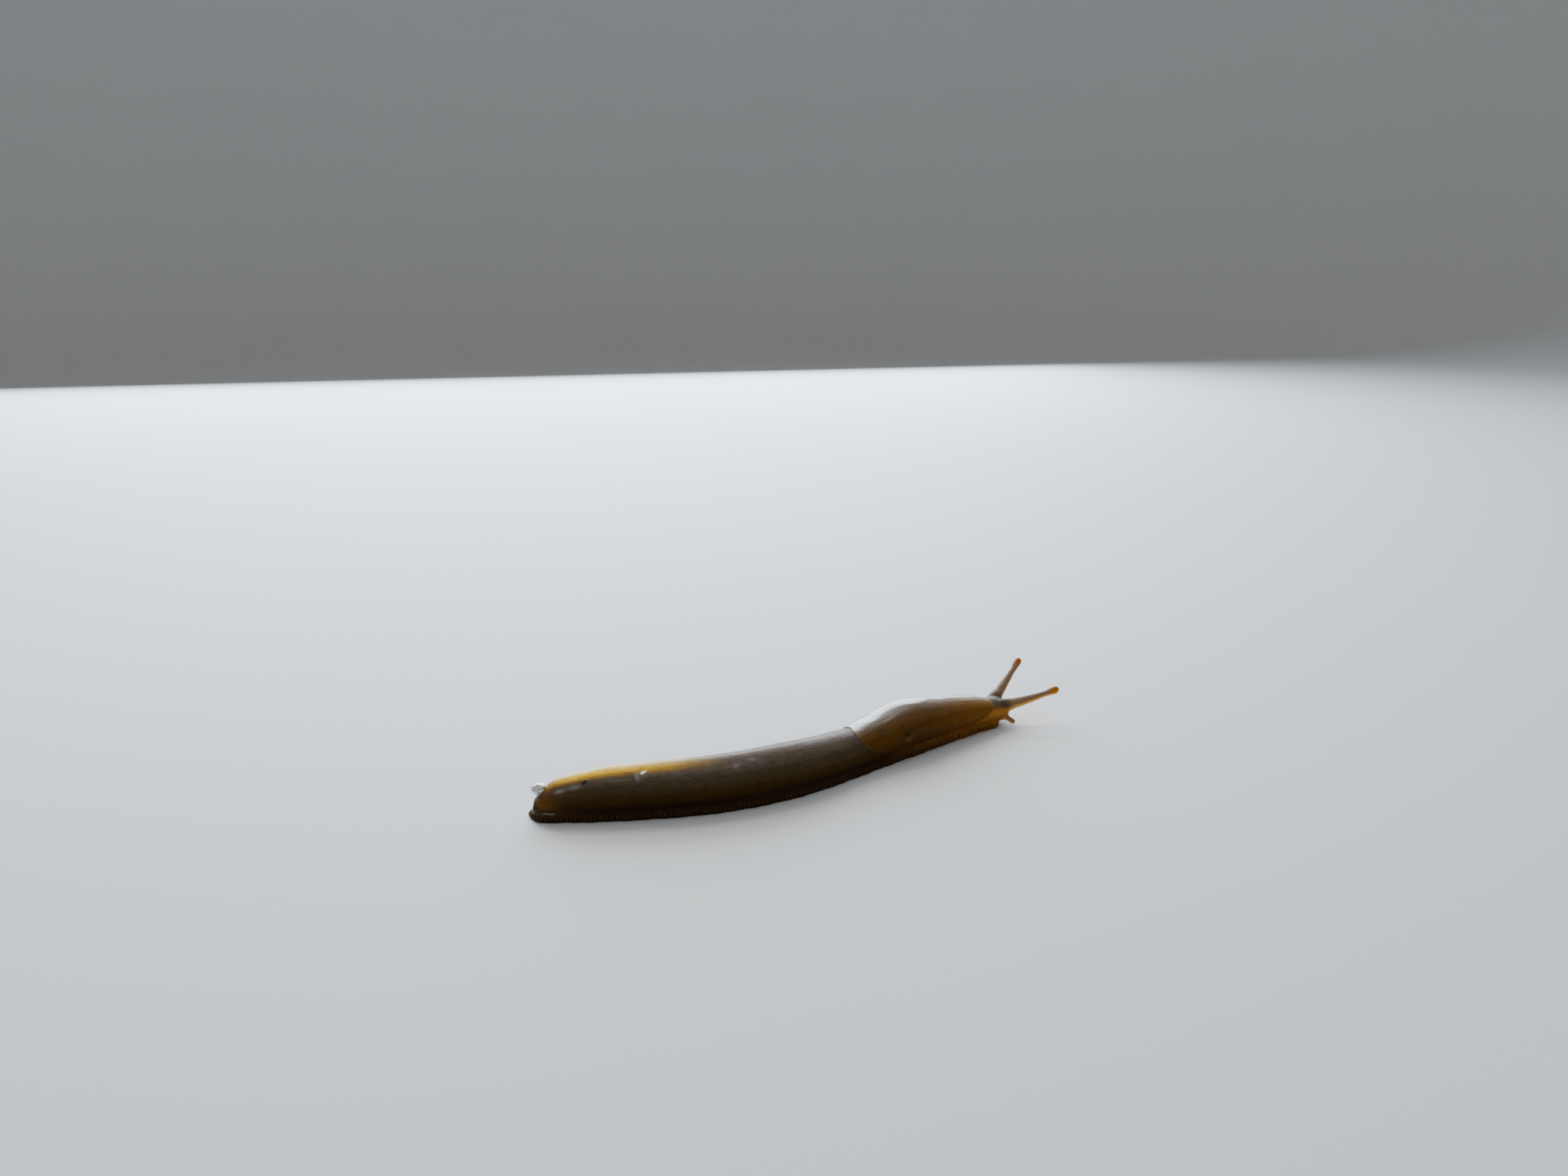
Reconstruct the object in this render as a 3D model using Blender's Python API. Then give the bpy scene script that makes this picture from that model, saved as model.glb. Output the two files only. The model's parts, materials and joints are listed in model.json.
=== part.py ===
"""A banana slug as it crawls, at life size, in named solid parts.

The slug heads along +X with its left side to +Y. The origin is on the flat sole, under the middle of
the body. A distance is measured along the spine from the rear tip of the foot, and a section angle
goes round the body from its right side, 0, over the back, 90, to its left side, 180.
"""

import math

import bmesh
import bpy
import numpy as np
from mathutils import Vector

NAME = "banana_slug"
GAP = 0.0003

# Spine: its length, the distance above the origin, and headings in degrees from +X, left positive.
BODY_LENGTH = 0.162
MIDDLE = 0.080
SPINE_STEP = 0.0005
HEADINGS = (
    (0.000, -18.0),
    (0.033, -16.0),
    (0.064, 1.0),
    (0.096, 15.5),
    (0.127, 10.5),
    (0.162, 2.0),
)

# Flesh without the mantle: distance, half width, half width above the foot, height, keel.
# A keel of 1 is a round back, and more pinches the back to a ridge.
SECTIONS = (
    (0.002, 0.0042, 0.0036, 0.0083, 1.40),
    (0.011, 0.0057, 0.0048, 0.0112, 1.40),
    (0.024, 0.0068, 0.0057, 0.0132, 1.30),
    (0.043, 0.0073, 0.0062, 0.0137, 1.18),
    (0.068, 0.0075, 0.0064, 0.0136, 1.08),
    (0.089, 0.0070, 0.0062, 0.0123, 1.00),
    (0.105, 0.0065, 0.0062, 0.0115, 1.00),
    (0.117, 0.0067, 0.0064, 0.0126, 1.00),
    (0.133, 0.0058, 0.0056, 0.0107, 1.00),
    (0.149, 0.0052, 0.0050, 0.0090, 1.00),
    (0.162, 0.0046, 0.0044, 0.0078, 1.00),
)
WIDEST_SHARE = 0.40
UNDERCUT_ANGLE = 35.0
RING_POINTS = 30
RING_SPACING = 0.0030

# The rounded ends of the flesh: where each ends, the length of its round and the height of its tip.
TAIL_TIP = 0.0035
TAIL_ROUND = 0.0040
TAIL_TIP_HEIGHT = 0.0056
NOSE_TIP = 0.1608
NOSE_ROUND = 0.0040
NOSE_TIP_HEIGHT = 0.0046
ROUND_RINGS = 4

# Lengths of the flesh behind the head, each from one distance to the next.
FLESH_CUTS = (
    ("tail", 0.0035, 0.032),
    ("trunk_rear", 0.032, 0.062),
    ("trunk_middle", 0.062, 0.092),
    ("trunk_front", 0.092, 0.122),
    ("neck", 0.122, 0.1505),
)
NECK_END = 0.1505

# Foot: its height, its half widths along the body, and the upright grooves of its fringe.
FOOT_HEIGHT = 0.0027
FOOT_END = 0.157
FOOT_ROUND = 0.0050
FOOT_HALF_WIDTHS = (
    (0.000, 0.0044),
    (0.011, 0.0058),
    (0.024, 0.0068),
    (0.043, 0.0072),
    (0.068, 0.0075),
    (0.089, 0.0072),
    (0.117, 0.0073),
    (0.133, 0.0063),
    (0.149, 0.0051),
    (0.157, 0.0045),
)
FOOT_CUTS = (
    ("foot_rear", 0.0, 0.052),
    ("foot_middle", 0.052, 0.105),
    ("foot_front", 0.105, 0.157),
)
GROOVE_PITCH = 0.0022
GROOVE_DEPTH = 0.00035
SOLE_INSET = 0.0005
FRINGE_TOP_INSET = 0.0009

# Mantle: the saddle of loose skin over the front third, with its margin low on the flanks.
MANTLE_MIDDLE = 0.123
MANTLE_REACH_BACK = 0.0285
MANTLE_REACH_FRONT = 0.0293
MANTLE_DROP = 108.0
MANTLE_REAR_SQUARENESS = 2.5
MANTLE_FRONT_SQUARENESS = 4.0
MANTLE_THICK = 0.0024
MANTLE_EDGE_THICK = 0.0008
MANTLE_EDGE_FULLNESS = 0.5
MANTLE_SEGMENTS = 56
MANTLE_ROWS = 28

# Breathing pore on the right edge of the mantle: a pit over a low swelling.
PORE_DISTANCE = 0.112
PORE_ANGLE = 18.0
PORE_RADII = (0.00115, 0.0008, 0.0009)
PORE_SWELLING_DROP = 12.0
PORE_SWELLING_RADII = (0.0024, 0.0017, 0.0006)

# Mouth: a slit between two lips, low on the front of the head.
MOUTH_HEIGHT = 0.0040
MOUTH_HALF_WIDTH = 0.0017
MOUTH_SLIT = 0.0005
LIP_THICK = 0.0006
LIP_RISE = 0.45

# Feelers: the place of the root in the head, the heading from +X, the climb and the length.
EYE_FEELERS = {
    "right": {"side": -0.0022, "heading": -16.0, "climb": 14.5, "length": 0.0185, "bow": 0.0004},
    "left": {"side": 0.0022, "heading": 27.5, "climb": 27.5, "length": 0.0195, "bow": 0.0002},
}
EYE_FEELER_ROOT = 0.1565
EYE_FEELER_ROOT_HEIGHT = 0.0059
EYE_FEELER_RADII = (0.0021, 0.0017, 0.0014, 0.0012, 0.0011)
KNOB_RADIUS = 0.0013
KNOB_STRETCH = 1.15
EYE_RADIUS = 0.0005
EYE_SEAT = 0.0008
LIP_FEELERS = {
    "right": {"side": -0.0027, "splay": -55.0, "climb": -26.0},
    "left": {"side": 0.0027, "splay": 42.0, "climb": -18.0},
}
LIP_FEELER_ROOT = 0.1566
LIP_FEELER_ROOT_HEIGHT = 0.0036
LIP_FEELER_LENGTH = 0.0042
LIP_FEELER_RADII = (0.0009, 0.0007, 0.00065)
TIP_BENDS = (30.0, 55.0, 75.0)
FEELER_SIDES = 14

# Plug of dried slime at the upper end of the tail.
PLUG_DISTANCE = 0.0030
PLUG_HEIGHT = 0.0080
PLUG_RADII = (0.0019, 0.0017, 0.0014)

# Colours in linear light, and how rough each skin is.
TAN = (0.30, 0.20, 0.09)
GOLD = (0.55, 0.33, 0.06)
ORANGE = (0.42, 0.18, 0.03)
LILAC = (0.42, 0.34, 0.28)
FRINGE = (0.22, 0.13, 0.04)
BLACK = (0.01, 0.008, 0.006)
SLIME = (0.65, 0.60, 0.50)
WET = 0.30
GLOSSY = 0.08


def between(stations, at, column=1):
    """Reads a column of the stations at the distances given, on a smooth curve with no overshoot."""
    table = np.array(stations, dtype=float)
    x, y = table[:, 0], table[:, column]
    slopes = np.diff(y) / np.diff(x)
    tangents = np.concatenate([[slopes[0]], np.zeros(len(x) - 2), [slopes[-1]]])
    for i in range(1, len(x) - 1):
        if slopes[i - 1] * slopes[i] > 0:
            tangents[i] = 2 / (1 / slopes[i - 1] + 1 / slopes[i])
    at = np.clip(at, x[0], x[-1])
    i = np.clip(np.searchsorted(x, at) - 1, 0, len(x) - 2)
    width = x[i + 1] - x[i]
    t = (at - x[i]) / width
    return (
        (2 * t**3 - 3 * t**2 + 1) * y[i]
        + (t**3 - 2 * t**2 + t) * width * tangents[i]
        + (3 * t**2 - 2 * t**3) * y[i + 1]
        + (t**3 - t**2) * width * tangents[i + 1]
    )


def traced_spine():
    """Distances along the spine with the x and y of each, the middle of the body at the origin."""
    distances = np.arange(0.0, BODY_LENGTH + SPINE_STEP, SPINE_STEP)
    turns = np.radians(between(HEADINGS, distances[:-1] + SPINE_STEP / 2))
    x = np.concatenate([[0.0], np.cumsum(np.cos(turns)) * SPINE_STEP])
    y = np.concatenate([[0.0], np.cumsum(np.sin(turns)) * SPINE_STEP])
    return (
        distances,
        x - np.interp(MIDDLE, distances, x),
        y - np.interp(MIDDLE, distances, y),
    )


SPINE = traced_spine()


def heading_at(distance):
    return math.radians(float(between(HEADINGS, distance)))


def beside_spine(distance, side, up):
    """The point at a distance along the spine, so far to its left and so high."""
    distances, x, y = SPINE
    turn = heading_at(distance)
    over = distance - min(max(distance, distances[0]), distances[-1])
    return Vector(
        (
            np.interp(distance, distances, x) + over * math.cos(turn) - side * math.sin(turn),
            np.interp(distance, distances, y) + over * math.sin(turn) + side * math.cos(turn),
            up,
        )
    )


def end_round(distance, grow):
    """How full the flesh is at a distance, and the height that its rounded end closes on."""
    from_tail = (distance - TAIL_TIP + grow) / (TAIL_ROUND + grow)
    from_nose = (NOSE_TIP + grow - distance) / (NOSE_ROUND + grow)
    tip_height = TAIL_TIP_HEIGHT if from_tail < from_nose else NOSE_TIP_HEIGHT
    nearest = min(max(min(from_tail, from_nose), 0.0), 1.0)
    return math.sqrt(1 - (1 - nearest) ** 2), tip_height


def flesh_point(distance, angle, grow=0.0):
    """The point of the flesh at a distance and section angle, moved out by grow."""
    half_width = float(between(SECTIONS, distance, 1)) + grow
    base = float(between(SECTIONS, distance, 2)) + grow
    height = float(between(SECTIONS, distance, 3)) + grow
    keel = float(between(SECTIONS, distance, 4))
    bottom = FOOT_HEIGHT + GAP - grow
    widest = bottom + WIDEST_SHARE * (height - bottom)
    across, rise = -math.cos(math.radians(angle)), math.sin(math.radians(angle))
    if rise >= 0:
        side = math.copysign(half_width * abs(across) ** keel, across)
        up = widest + (height - widest) * rise
    else:
        low = math.radians(UNDERCUT_ANGLE)
        tuck = (1 - abs(across)) / (1 - math.cos(low))
        side = math.copysign(half_width - (half_width - base) * tuck, across)
        up = widest + (widest - bottom) * rise / math.sin(low)
    fullness, tip_height = end_round(distance, grow)
    return beside_spine(distance, side * fullness, tip_height + (up - tip_height) * fullness)


def flesh_ring(distance, grow=0.0):
    angles = np.linspace(-UNDERCUT_ANGLE, 180 + UNDERCUT_ANGLE, RING_POINTS)
    return [flesh_point(distance, float(angle), grow) for angle in angles]


def spread(start, end, spacing):
    """Distances from start to end, evenly spread, about so far apart."""
    return list(np.linspace(start, end, max(2, round((end - start) / spacing) + 1)))


def lofted(name, rings, first_tip=None, last_tip=None):
    """A closed body through rings of like count, each end closed flat or on a tip."""
    bm = bmesh.new()
    rows = [[bm.verts.new(point) for point in ring] for ring in rings]
    for row, following in zip(rows, rows[1:]):
        for i in range(len(row)):
            j = (i + 1) % len(row)
            bm.faces.new((row[i], row[j], following[j], following[i]))
    for row, tip in ((rows[0], first_tip), (rows[-1], last_tip)):
        if tip is None:
            bm.faces.new(row)
            continue
        end = bm.verts.new(tip)
        for i in range(len(row)):
            bm.faces.new((row[i], row[(i + 1) % len(row)], end))
    bmesh.ops.recalc_face_normals(bm, faces=bm.faces)
    return object_from(bm, name)


def object_from(bm, name):
    mesh = bpy.data.meshes.new(name)
    bm.to_mesh(mesh)
    bm.free()
    mesh.shade_smooth()
    mesh.set_sharp_from_angle(angle=math.radians(50))
    made = bpy.data.objects.new(name, mesh)
    parts.objects.link(made)
    return made


def as_cutter(made):
    parts.objects.unlink(made)
    cutters.objects.link(made)
    made.hide_render = True
    made.display_type = "WIRE"
    return made


def coloured(made, colour, roughness):
    """Gives the object a material of its own."""
    material = bpy.data.materials.new(made.name)
    material.use_nodes = True
    surface = material.node_tree.nodes["Principled BSDF"]
    surface.inputs["Base Color"].default_value = (*colour, 1.0)
    surface.inputs["Roughness"].default_value = roughness
    surface.inputs["Metallic"].default_value = 0.0
    made.data.materials.clear()
    made.data.materials.append(material)
    return made


def cut_by(made, cutter, solver="EXACT"):
    """Takes the cutter's shape out of the object."""
    cut = made.modifiers.new(f"cut by {cutter.name}", "BOOLEAN")
    cut.operation = "DIFFERENCE"
    cut.solver = solver
    cut.object = cutter
    return made


def fused(made, pieces):
    """Joins the pieces to the object by one union and removes them."""
    group = bpy.data.collections.new(f"{made.name} pieces")
    for piece in pieces:
        parts.objects.unlink(piece)
        group.objects.link(piece)
    bpy.context.scene.collection.children.link(group)
    union = made.modifiers.new("union", "BOOLEAN")
    union.operation = "UNION"
    union.operand_type = "COLLECTION"
    union.collection = group
    bpy.context.view_layer.update()
    evaluated = made.evaluated_get(bpy.context.evaluated_depsgraph_get())
    joined = bpy.data.meshes.new_from_object(evaluated)
    made.modifiers.remove(union)
    made.data = joined
    for piece in pieces:
        bpy.data.objects.remove(piece)
    bpy.data.collections.remove(group)
    keep_largest(made)
    return made


def keep_largest(made):
    """Keeps only the object's largest closed surface."""
    bm = bmesh.new()
    bm.from_mesh(made.data)
    left = set(bm.verts)
    shells = []
    while left:
        shell, queue = set(), [left.pop()]
        while queue:
            vertex = queue.pop()
            shell.add(vertex)
            for edge in vertex.link_edges:
                other = edge.other_vert(vertex)
                if other in left:
                    left.remove(other)
                    queue.append(other)
        shells.append(shell)
    largest = max(shells, key=len)
    loose = [vertex for vertex in bm.verts if vertex not in largest]
    bmesh.ops.delete(bm, geom=loose, context="VERTS")
    bm.to_mesh(made.data)
    bm.free()


def ellipsoid(name, centre, axes, radii, segments=16, rows=10):
    """A sphere stretched to three radii along three right-handed axes."""
    bm = bmesh.new()
    bmesh.ops.create_uvsphere(bm, u_segments=segments, v_segments=rows, radius=1.0)
    for vertex in bm.verts:
        local = vertex.co.copy()
        vertex.co = centre + sum(
            (axis * (radius * part) for axis, radius, part in zip(axes, radii, local)), Vector()
        )
    return object_from(bm, name)


def direction(heading, climb):
    turn, rise = math.radians(heading), math.radians(climb)
    return Vector(
        (math.cos(rise) * math.cos(turn), math.cos(rise) * math.sin(turn), math.sin(rise))
    )


def axes_along(forward):
    """Forward, left and up for something that points forward."""
    left = Vector((0, 0, 1)).cross(forward).normalized()
    return forward, left, forward.cross(left)


def build_flesh():
    """The tail, the trunk and the neck, cut straight across."""
    for name, start, end in FLESH_CUTS:
        tip = None
        if start == TAIL_TIP:
            tip = beside_spine(TAIL_TIP, 0.0, TAIL_TIP_HEIGHT)
            round_end = TAIL_TIP + TAIL_ROUND
            quarter = np.linspace(0, math.pi / 2, ROUND_RINGS + 1)[1:]
            marks = [TAIL_TIP + TAIL_ROUND * (1 - math.cos(a)) for a in quarter[:-1]]
            marks += spread(round_end, end - GAP / 2, RING_SPACING)
        else:
            marks = spread(start + GAP / 2, end - GAP / 2, RING_SPACING)
        made = lofted(name, [flesh_ring(mark) for mark in marks], first_tip=tip)
        coloured(made, GOLD if name == "tail" else TAN, WET)


def nose_marks(start, grow):
    """Distances from the neck to the nose, closer where the head rounds off."""
    round_start = NOSE_TIP - NOSE_ROUND
    quarter = np.linspace(0, math.pi / 2, ROUND_RINGS + 2)[1:-1]
    length = NOSE_ROUND + grow
    return spread(start, round_start, RING_SPACING / 2) + [
        round_start + length * math.sin(a) for a in quarter
    ]


def head_loft(name, start, grow):
    rings = [flesh_ring(mark, grow) for mark in nose_marks(start, grow)]
    tip = beside_spine(NOSE_TIP + grow, 0.0, NOSE_TIP_HEIGHT)
    return lofted(name, rings, last_tip=tip)


def build_head():
    """The head, with two lips round the slit of the mouth."""
    head = head_loft("head", NECK_END + GAP / 2, 0.0)
    forward, left, up = axes_along(direction(math.degrees(heading_at(NOSE_TIP)), 0.0))
    front = beside_spine(NOSE_TIP - LIP_THICK, 0.0, MOUTH_HEIGHT)
    lips = []
    for name, rise in (("upper lip", 1.0), ("lower lip", -1.0)):
        centre = front + up * rise * LIP_THICK * (1 + LIP_RISE)
        radii = (LIP_THICK * 1.6, MOUTH_HALF_WIDTH, LIP_THICK)
        lips.append(ellipsoid(name, centre, (forward, left, up), radii, 14, 8))
    fused(head, lips)
    slit = ellipsoid(
        "mouth slit",
        front + forward * LIP_THICK,
        (forward, left, up),
        (LIP_THICK * 3, MOUTH_HALF_WIDTH, MOUTH_SLIT),
        14,
        8,
    )
    cut_by(head, as_cutter(slit), "MANIFOLD")
    coloured(head, ORANGE, WET)


def foot_ring(distance, groove):
    """A section of the foot, its fringe drawn in by the depth of a groove."""
    half_width = float(between(FOOT_HALF_WIDTHS, distance))
    nearest = min(distance, FOOT_END - distance) / FOOT_ROUND
    fullness = math.sqrt(1 - (1 - min(nearest, 1.0)) ** 2)
    reach = half_width * fullness - groove
    edge = (
        (reach - SOLE_INSET, 0.0),
        (reach, FOOT_HEIGHT * 0.3),
        (reach, FOOT_HEIGHT * 0.75),
        (reach - FRINGE_TOP_INSET, FOOT_HEIGHT),
    )
    right = [beside_spine(distance, -side, up) for side, up in edge]
    left = [beside_spine(distance, side, up) for side, up in reversed(edge)]
    return right + left


def build_foot():
    """The foot, with its flat sole and the upright grooves round its fringe."""
    for name, start, end in FOOT_CUTS:
        first = start + (GAP / 2 if start > 0 else FOOT_ROUND * 0.06)
        last = end - (GAP / 2 if end < FOOT_END else FOOT_ROUND * 0.06)
        marks = spread(first, last, GROOVE_PITCH / 2)
        inside = range(1, len(marks) - 1)
        grooves = [GROOVE_DEPTH * (i % 2) if i in inside else 0.0 for i in range(len(marks))]
        rings = [foot_ring(mark, groove) for mark, groove in zip(marks, grooves)]
        coloured(lofted(name, rings), FRINGE, WET)


def mantle_place(x, y):
    """The distance and section angle at a place in the unit disc that the mantle is draped from."""
    radius = math.hypot(x, y)
    if radius < 1e-9:
        return MANTLE_MIDDLE, 90.0, 0.0
    squareness = MANTLE_FRONT_SQUARENESS if x > 0 else MANTLE_REAR_SQUARENESS
    along = math.copysign(abs(x / radius) ** (2 / squareness), x) * radius
    across = math.copysign(abs(y / radius) ** (2 / squareness), y) * radius
    reach = MANTLE_REACH_FRONT if x > 0 else MANTLE_REACH_BACK
    return MANTLE_MIDDLE + along * reach, 90.0 + across * MANTLE_DROP, radius


def mantle_outside(distance, angle, radius=0.0, share=1.0):
    """A point in the thickness of the mantle, from its inner face, 0, to its outer face, 1."""
    thick = MANTLE_EDGE_THICK + (MANTLE_THICK - MANTLE_EDGE_THICK) * (1 - radius**2)
    return flesh_point(distance, angle, GAP + thick * share)


def mantle_radius(distance, angle):
    """How far out in the mantle a place is, from its middle, 0, to its margin, 1."""
    behind = distance < MANTLE_MIDDLE
    along = abs(distance - MANTLE_MIDDLE) / (MANTLE_REACH_BACK if behind else MANTLE_REACH_FRONT)
    across = abs(angle - 90.0) / MANTLE_DROP
    squareness = MANTLE_REAR_SQUARENESS if behind else MANTLE_FRONT_SQUARENESS
    return (along**squareness + across**squareness) ** (1 / squareness)


def mantle_frame(distance, angle):
    """A point on the outside of the mantle, with its axes along, round and out of the skin."""
    radius = mantle_radius(distance, angle)
    here = mantle_outside(distance, angle, radius)
    along = (mantle_outside(distance + 0.001, angle, radius) - here).normalized()
    around = (mantle_outside(distance, angle - 4.0, radius) - here).normalized()
    out = along.cross(around).normalized()
    centre = beside_spine(distance, 0.0, here.z)
    if out.dot(here - centre) < 0:
        out = -out
    return here, (along, out.cross(along), out)


def build_mantle():
    """The mantle, draped from a flattened sphere, with the breathing pore on its right."""
    bm = bmesh.new()
    bmesh.ops.create_uvsphere(
        bm, u_segments=MANTLE_SEGMENTS, v_segments=MANTLE_ROWS, radius=1.0
    )
    for vertex in bm.verts:
        x, y, z = vertex.co
        distance, angle, radius = mantle_place(x, y)
        side = math.copysign(abs(z) ** MANTLE_EDGE_FULLNESS, z)
        vertex.co = mantle_outside(distance, angle, radius, (1 + side) / 2)
    mantle = object_from(bm, "mantle")
    low, low_axes = mantle_frame(PORE_DISTANCE, PORE_ANGLE - PORE_SWELLING_DROP)
    fused(mantle, [ellipsoid("pore swelling", low, low_axes, PORE_SWELLING_RADII, 16, 8)])
    pore, pore_axes = mantle_frame(PORE_DISTANCE, PORE_ANGLE)
    pit = as_cutter(ellipsoid("pore", pore, pore_axes, PORE_RADII, 14, 8))
    cut_by(mantle, pit, "MANIFOLD")
    coloured(mantle, ORANGE, WET)


def feeler_tube(name, points, radii):
    """A round feeler through the points, its radius changing along it, as a closed mesh."""
    curve = bpy.data.curves.new(name, "CURVE")
    curve.dimensions = "3D"
    curve.bevel_depth = 1.0
    curve.bevel_resolution = FEELER_SIDES // 2 - 1
    curve.use_fill_caps = True
    spline = curve.splines.new("POLY")
    spline.points.add(len(points) - 1)
    for point, place, radius in zip(spline.points, points, radii):
        point.co = (*place, 1.0)
        point.radius = radius
    tube = bpy.data.objects.new(name, curve)
    parts.objects.link(tube)
    bpy.context.view_layer.update()
    evaluated = tube.evaluated_get(bpy.context.evaluated_depsgraph_get())
    mesh = bpy.data.meshes.new_from_object(evaluated)
    bm = bmesh.new()
    bm.from_mesh(mesh)
    bmesh.ops.remove_doubles(bm, verts=bm.verts, dist=1e-6)
    bmesh.ops.recalc_face_normals(bm, faces=bm.faces)
    bpy.data.meshes.remove(mesh)
    bpy.data.objects.remove(tube)
    return object_from(bm, name)


def build_eye_feelers(head_room):
    """The upper feelers, each with a knob at its end and an eye in the knob."""
    for hand, feeler in EYE_FEELERS.items():
        root = beside_spine(EYE_FEELER_ROOT, feeler["side"], EYE_FEELER_ROOT_HEIGHT)
        forward, left, up = axes_along(direction(feeler["heading"], feeler["climb"]))
        knob_centre = root + forward * feeler["length"]
        stalk_end = feeler["length"] - KNOB_RADIUS * 0.75 - GAP
        shares = np.linspace(0, 1, 2 * len(EYE_FEELER_RADII) - 1)
        points = [
            root + forward * (stalk_end * t) - up * (feeler["bow"] * math.sin(math.pi * t))
            for t in shares
        ]
        known = np.linspace(0, 1, len(EYE_FEELER_RADII))
        radii = np.interp(shares, known, EYE_FEELER_RADII)
        stalk = feeler_tube(f"upper_tentacle_{hand}", points, radii)
        coloured(cut_by(stalk, head_room), LILAC, WET)
        knob_radii = (KNOB_RADIUS * KNOB_STRETCH, KNOB_RADIUS, KNOB_RADIUS)
        room_radii = [radius + GAP for radius in knob_radii]
        room = ellipsoid(f"room for knob {hand}", knob_centre, (forward, left, up), room_radii)
        cut_by(stalk, as_cutter(room))
        knob = ellipsoid(f"eye_knob_{hand}", knob_centre, (forward, left, up), knob_radii)
        eye_centre = knob_centre + forward * EYE_SEAT * KNOB_STRETCH + up * EYE_SEAT * 0.35
        socket_radii = [EYE_RADIUS + GAP] * 3
        socket = ellipsoid(f"socket {hand}", eye_centre, (forward, left, up), socket_radii, 12, 8)
        coloured(cut_by(knob, as_cutter(socket)), ORANGE, WET)
        eye = ellipsoid(f"eye_{hand}", eye_centre, (forward, left, up), [EYE_RADIUS] * 3, 12, 8)
        coloured(eye, BLACK, GLOSSY)


def build_lip_feelers(head_room):
    """The short lower feelers, one each side of the mouth, with round ends."""
    ahead = math.degrees(heading_at(LIP_FEELER_ROOT))
    for hand, feeler in LIP_FEELERS.items():
        root = beside_spine(LIP_FEELER_ROOT, feeler["side"], LIP_FEELER_ROOT_HEIGHT)
        forward = direction(ahead + feeler["splay"], feeler["climb"])
        tip_radius = LIP_FEELER_RADII[-1]
        bends = [math.radians(bend) for bend in TIP_BENDS]
        reaches = [LIP_FEELER_LENGTH * share for share in (0.0, 0.5, 1.0)]
        reaches += [LIP_FEELER_LENGTH + tip_radius * math.sin(bend) for bend in bends]
        radii = [*LIP_FEELER_RADII, *(tip_radius * math.cos(bend) for bend in bends)]
        points = [root + forward * reach for reach in reaches]
        made = feeler_tube(f"lower_tentacle_{hand}", points, radii)
        coloured(cut_by(made, head_room), GOLD, WET)


def build_plug():
    """The plug of slime behind the tail, hollowed where the tail backs it."""
    centre = beside_spine(PLUG_DISTANCE, 0.0, PLUG_HEIGHT)
    axes = axes_along(direction(math.degrees(heading_at(PLUG_DISTANCE)), 0.0))
    plug = ellipsoid("mucus_plug", centre, axes, PLUG_RADII)
    quarter = np.linspace(0, math.pi / 2, ROUND_RINGS + 2)[1:]
    reach = TAIL_ROUND + GAP
    marks = [TAIL_TIP - GAP + reach * (1 - math.cos(a)) for a in quarter]
    tip = beside_spine(TAIL_TIP - GAP, 0.0, TAIL_TIP_HEIGHT)
    room = lofted("room for tail", [flesh_ring(mark, GAP) for mark in marks], first_tip=tip)
    coloured(cut_by(plug, as_cutter(room)), SLIME, WET)


for old in list(bpy.data.objects):
    bpy.data.objects.remove(old)
parts = bpy.data.collections.new(NAME)
cutters = bpy.data.collections.new("cutters")
bpy.context.scene.collection.children.link(parts)
bpy.context.scene.collection.children.link(cutters)

build_foot()
build_flesh()
build_head()
build_mantle()
room_for_head = as_cutter(head_loft("room for head", NECK_END - RING_SPACING, GAP))
build_eye_feelers(room_for_head)
build_lip_feelers(room_for_head)
build_plug()
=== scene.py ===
"""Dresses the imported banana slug: one wet skin over all its flesh, glossy eyes and a plug of dried slime.

The slug heads along +X with its left side to +Y and its flat sole on z = 0. A distance runs along the
spine from the rear tip of the foot, in metres. A section angle goes round the body from its right
side, 0, over the back, 90, to its left side, 180.
"""

import json
import math

import bpy
import numpy as np
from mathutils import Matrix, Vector, kdtree, noise

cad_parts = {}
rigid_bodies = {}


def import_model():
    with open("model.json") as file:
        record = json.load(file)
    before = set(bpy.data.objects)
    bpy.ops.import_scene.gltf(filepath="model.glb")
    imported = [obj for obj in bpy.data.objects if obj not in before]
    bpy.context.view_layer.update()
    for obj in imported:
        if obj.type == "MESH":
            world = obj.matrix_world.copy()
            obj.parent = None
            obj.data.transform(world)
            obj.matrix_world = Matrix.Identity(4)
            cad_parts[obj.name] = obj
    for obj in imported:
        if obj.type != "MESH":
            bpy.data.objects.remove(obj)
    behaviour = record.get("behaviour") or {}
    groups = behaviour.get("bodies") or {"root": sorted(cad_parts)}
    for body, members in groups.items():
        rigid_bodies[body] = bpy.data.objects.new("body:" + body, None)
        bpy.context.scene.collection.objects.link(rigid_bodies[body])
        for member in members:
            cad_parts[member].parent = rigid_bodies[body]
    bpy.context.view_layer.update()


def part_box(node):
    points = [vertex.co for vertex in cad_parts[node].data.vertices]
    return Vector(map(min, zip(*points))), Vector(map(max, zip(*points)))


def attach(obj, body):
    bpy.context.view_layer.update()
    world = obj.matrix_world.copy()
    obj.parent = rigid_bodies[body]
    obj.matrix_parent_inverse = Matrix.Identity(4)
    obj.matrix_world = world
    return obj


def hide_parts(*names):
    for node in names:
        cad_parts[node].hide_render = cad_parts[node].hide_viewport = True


bl_info = {
    "name": "Banana slug",
    "version": (1, 0, 0),
    "blender": (4, 5, 0),
    "location": "3D View > Sidebar > Slug",
    "description": "Builds the skin, the eyes and the slime plug of a life-size banana slug",
    "category": "Object",
}

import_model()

# The body as the solids have it: the spine, the sections of the flesh and the outline of the foot.
GAP = 0.0003
BODY_LENGTH = 0.162
MIDDLE = 0.080
SPINE_STEP = 0.0005
HEADINGS = (
    (0.000, -18.0),
    (0.033, -16.0),
    (0.064, 1.0),
    (0.096, 15.5),
    (0.127, 10.5),
    (0.162, 2.0),
)
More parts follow.
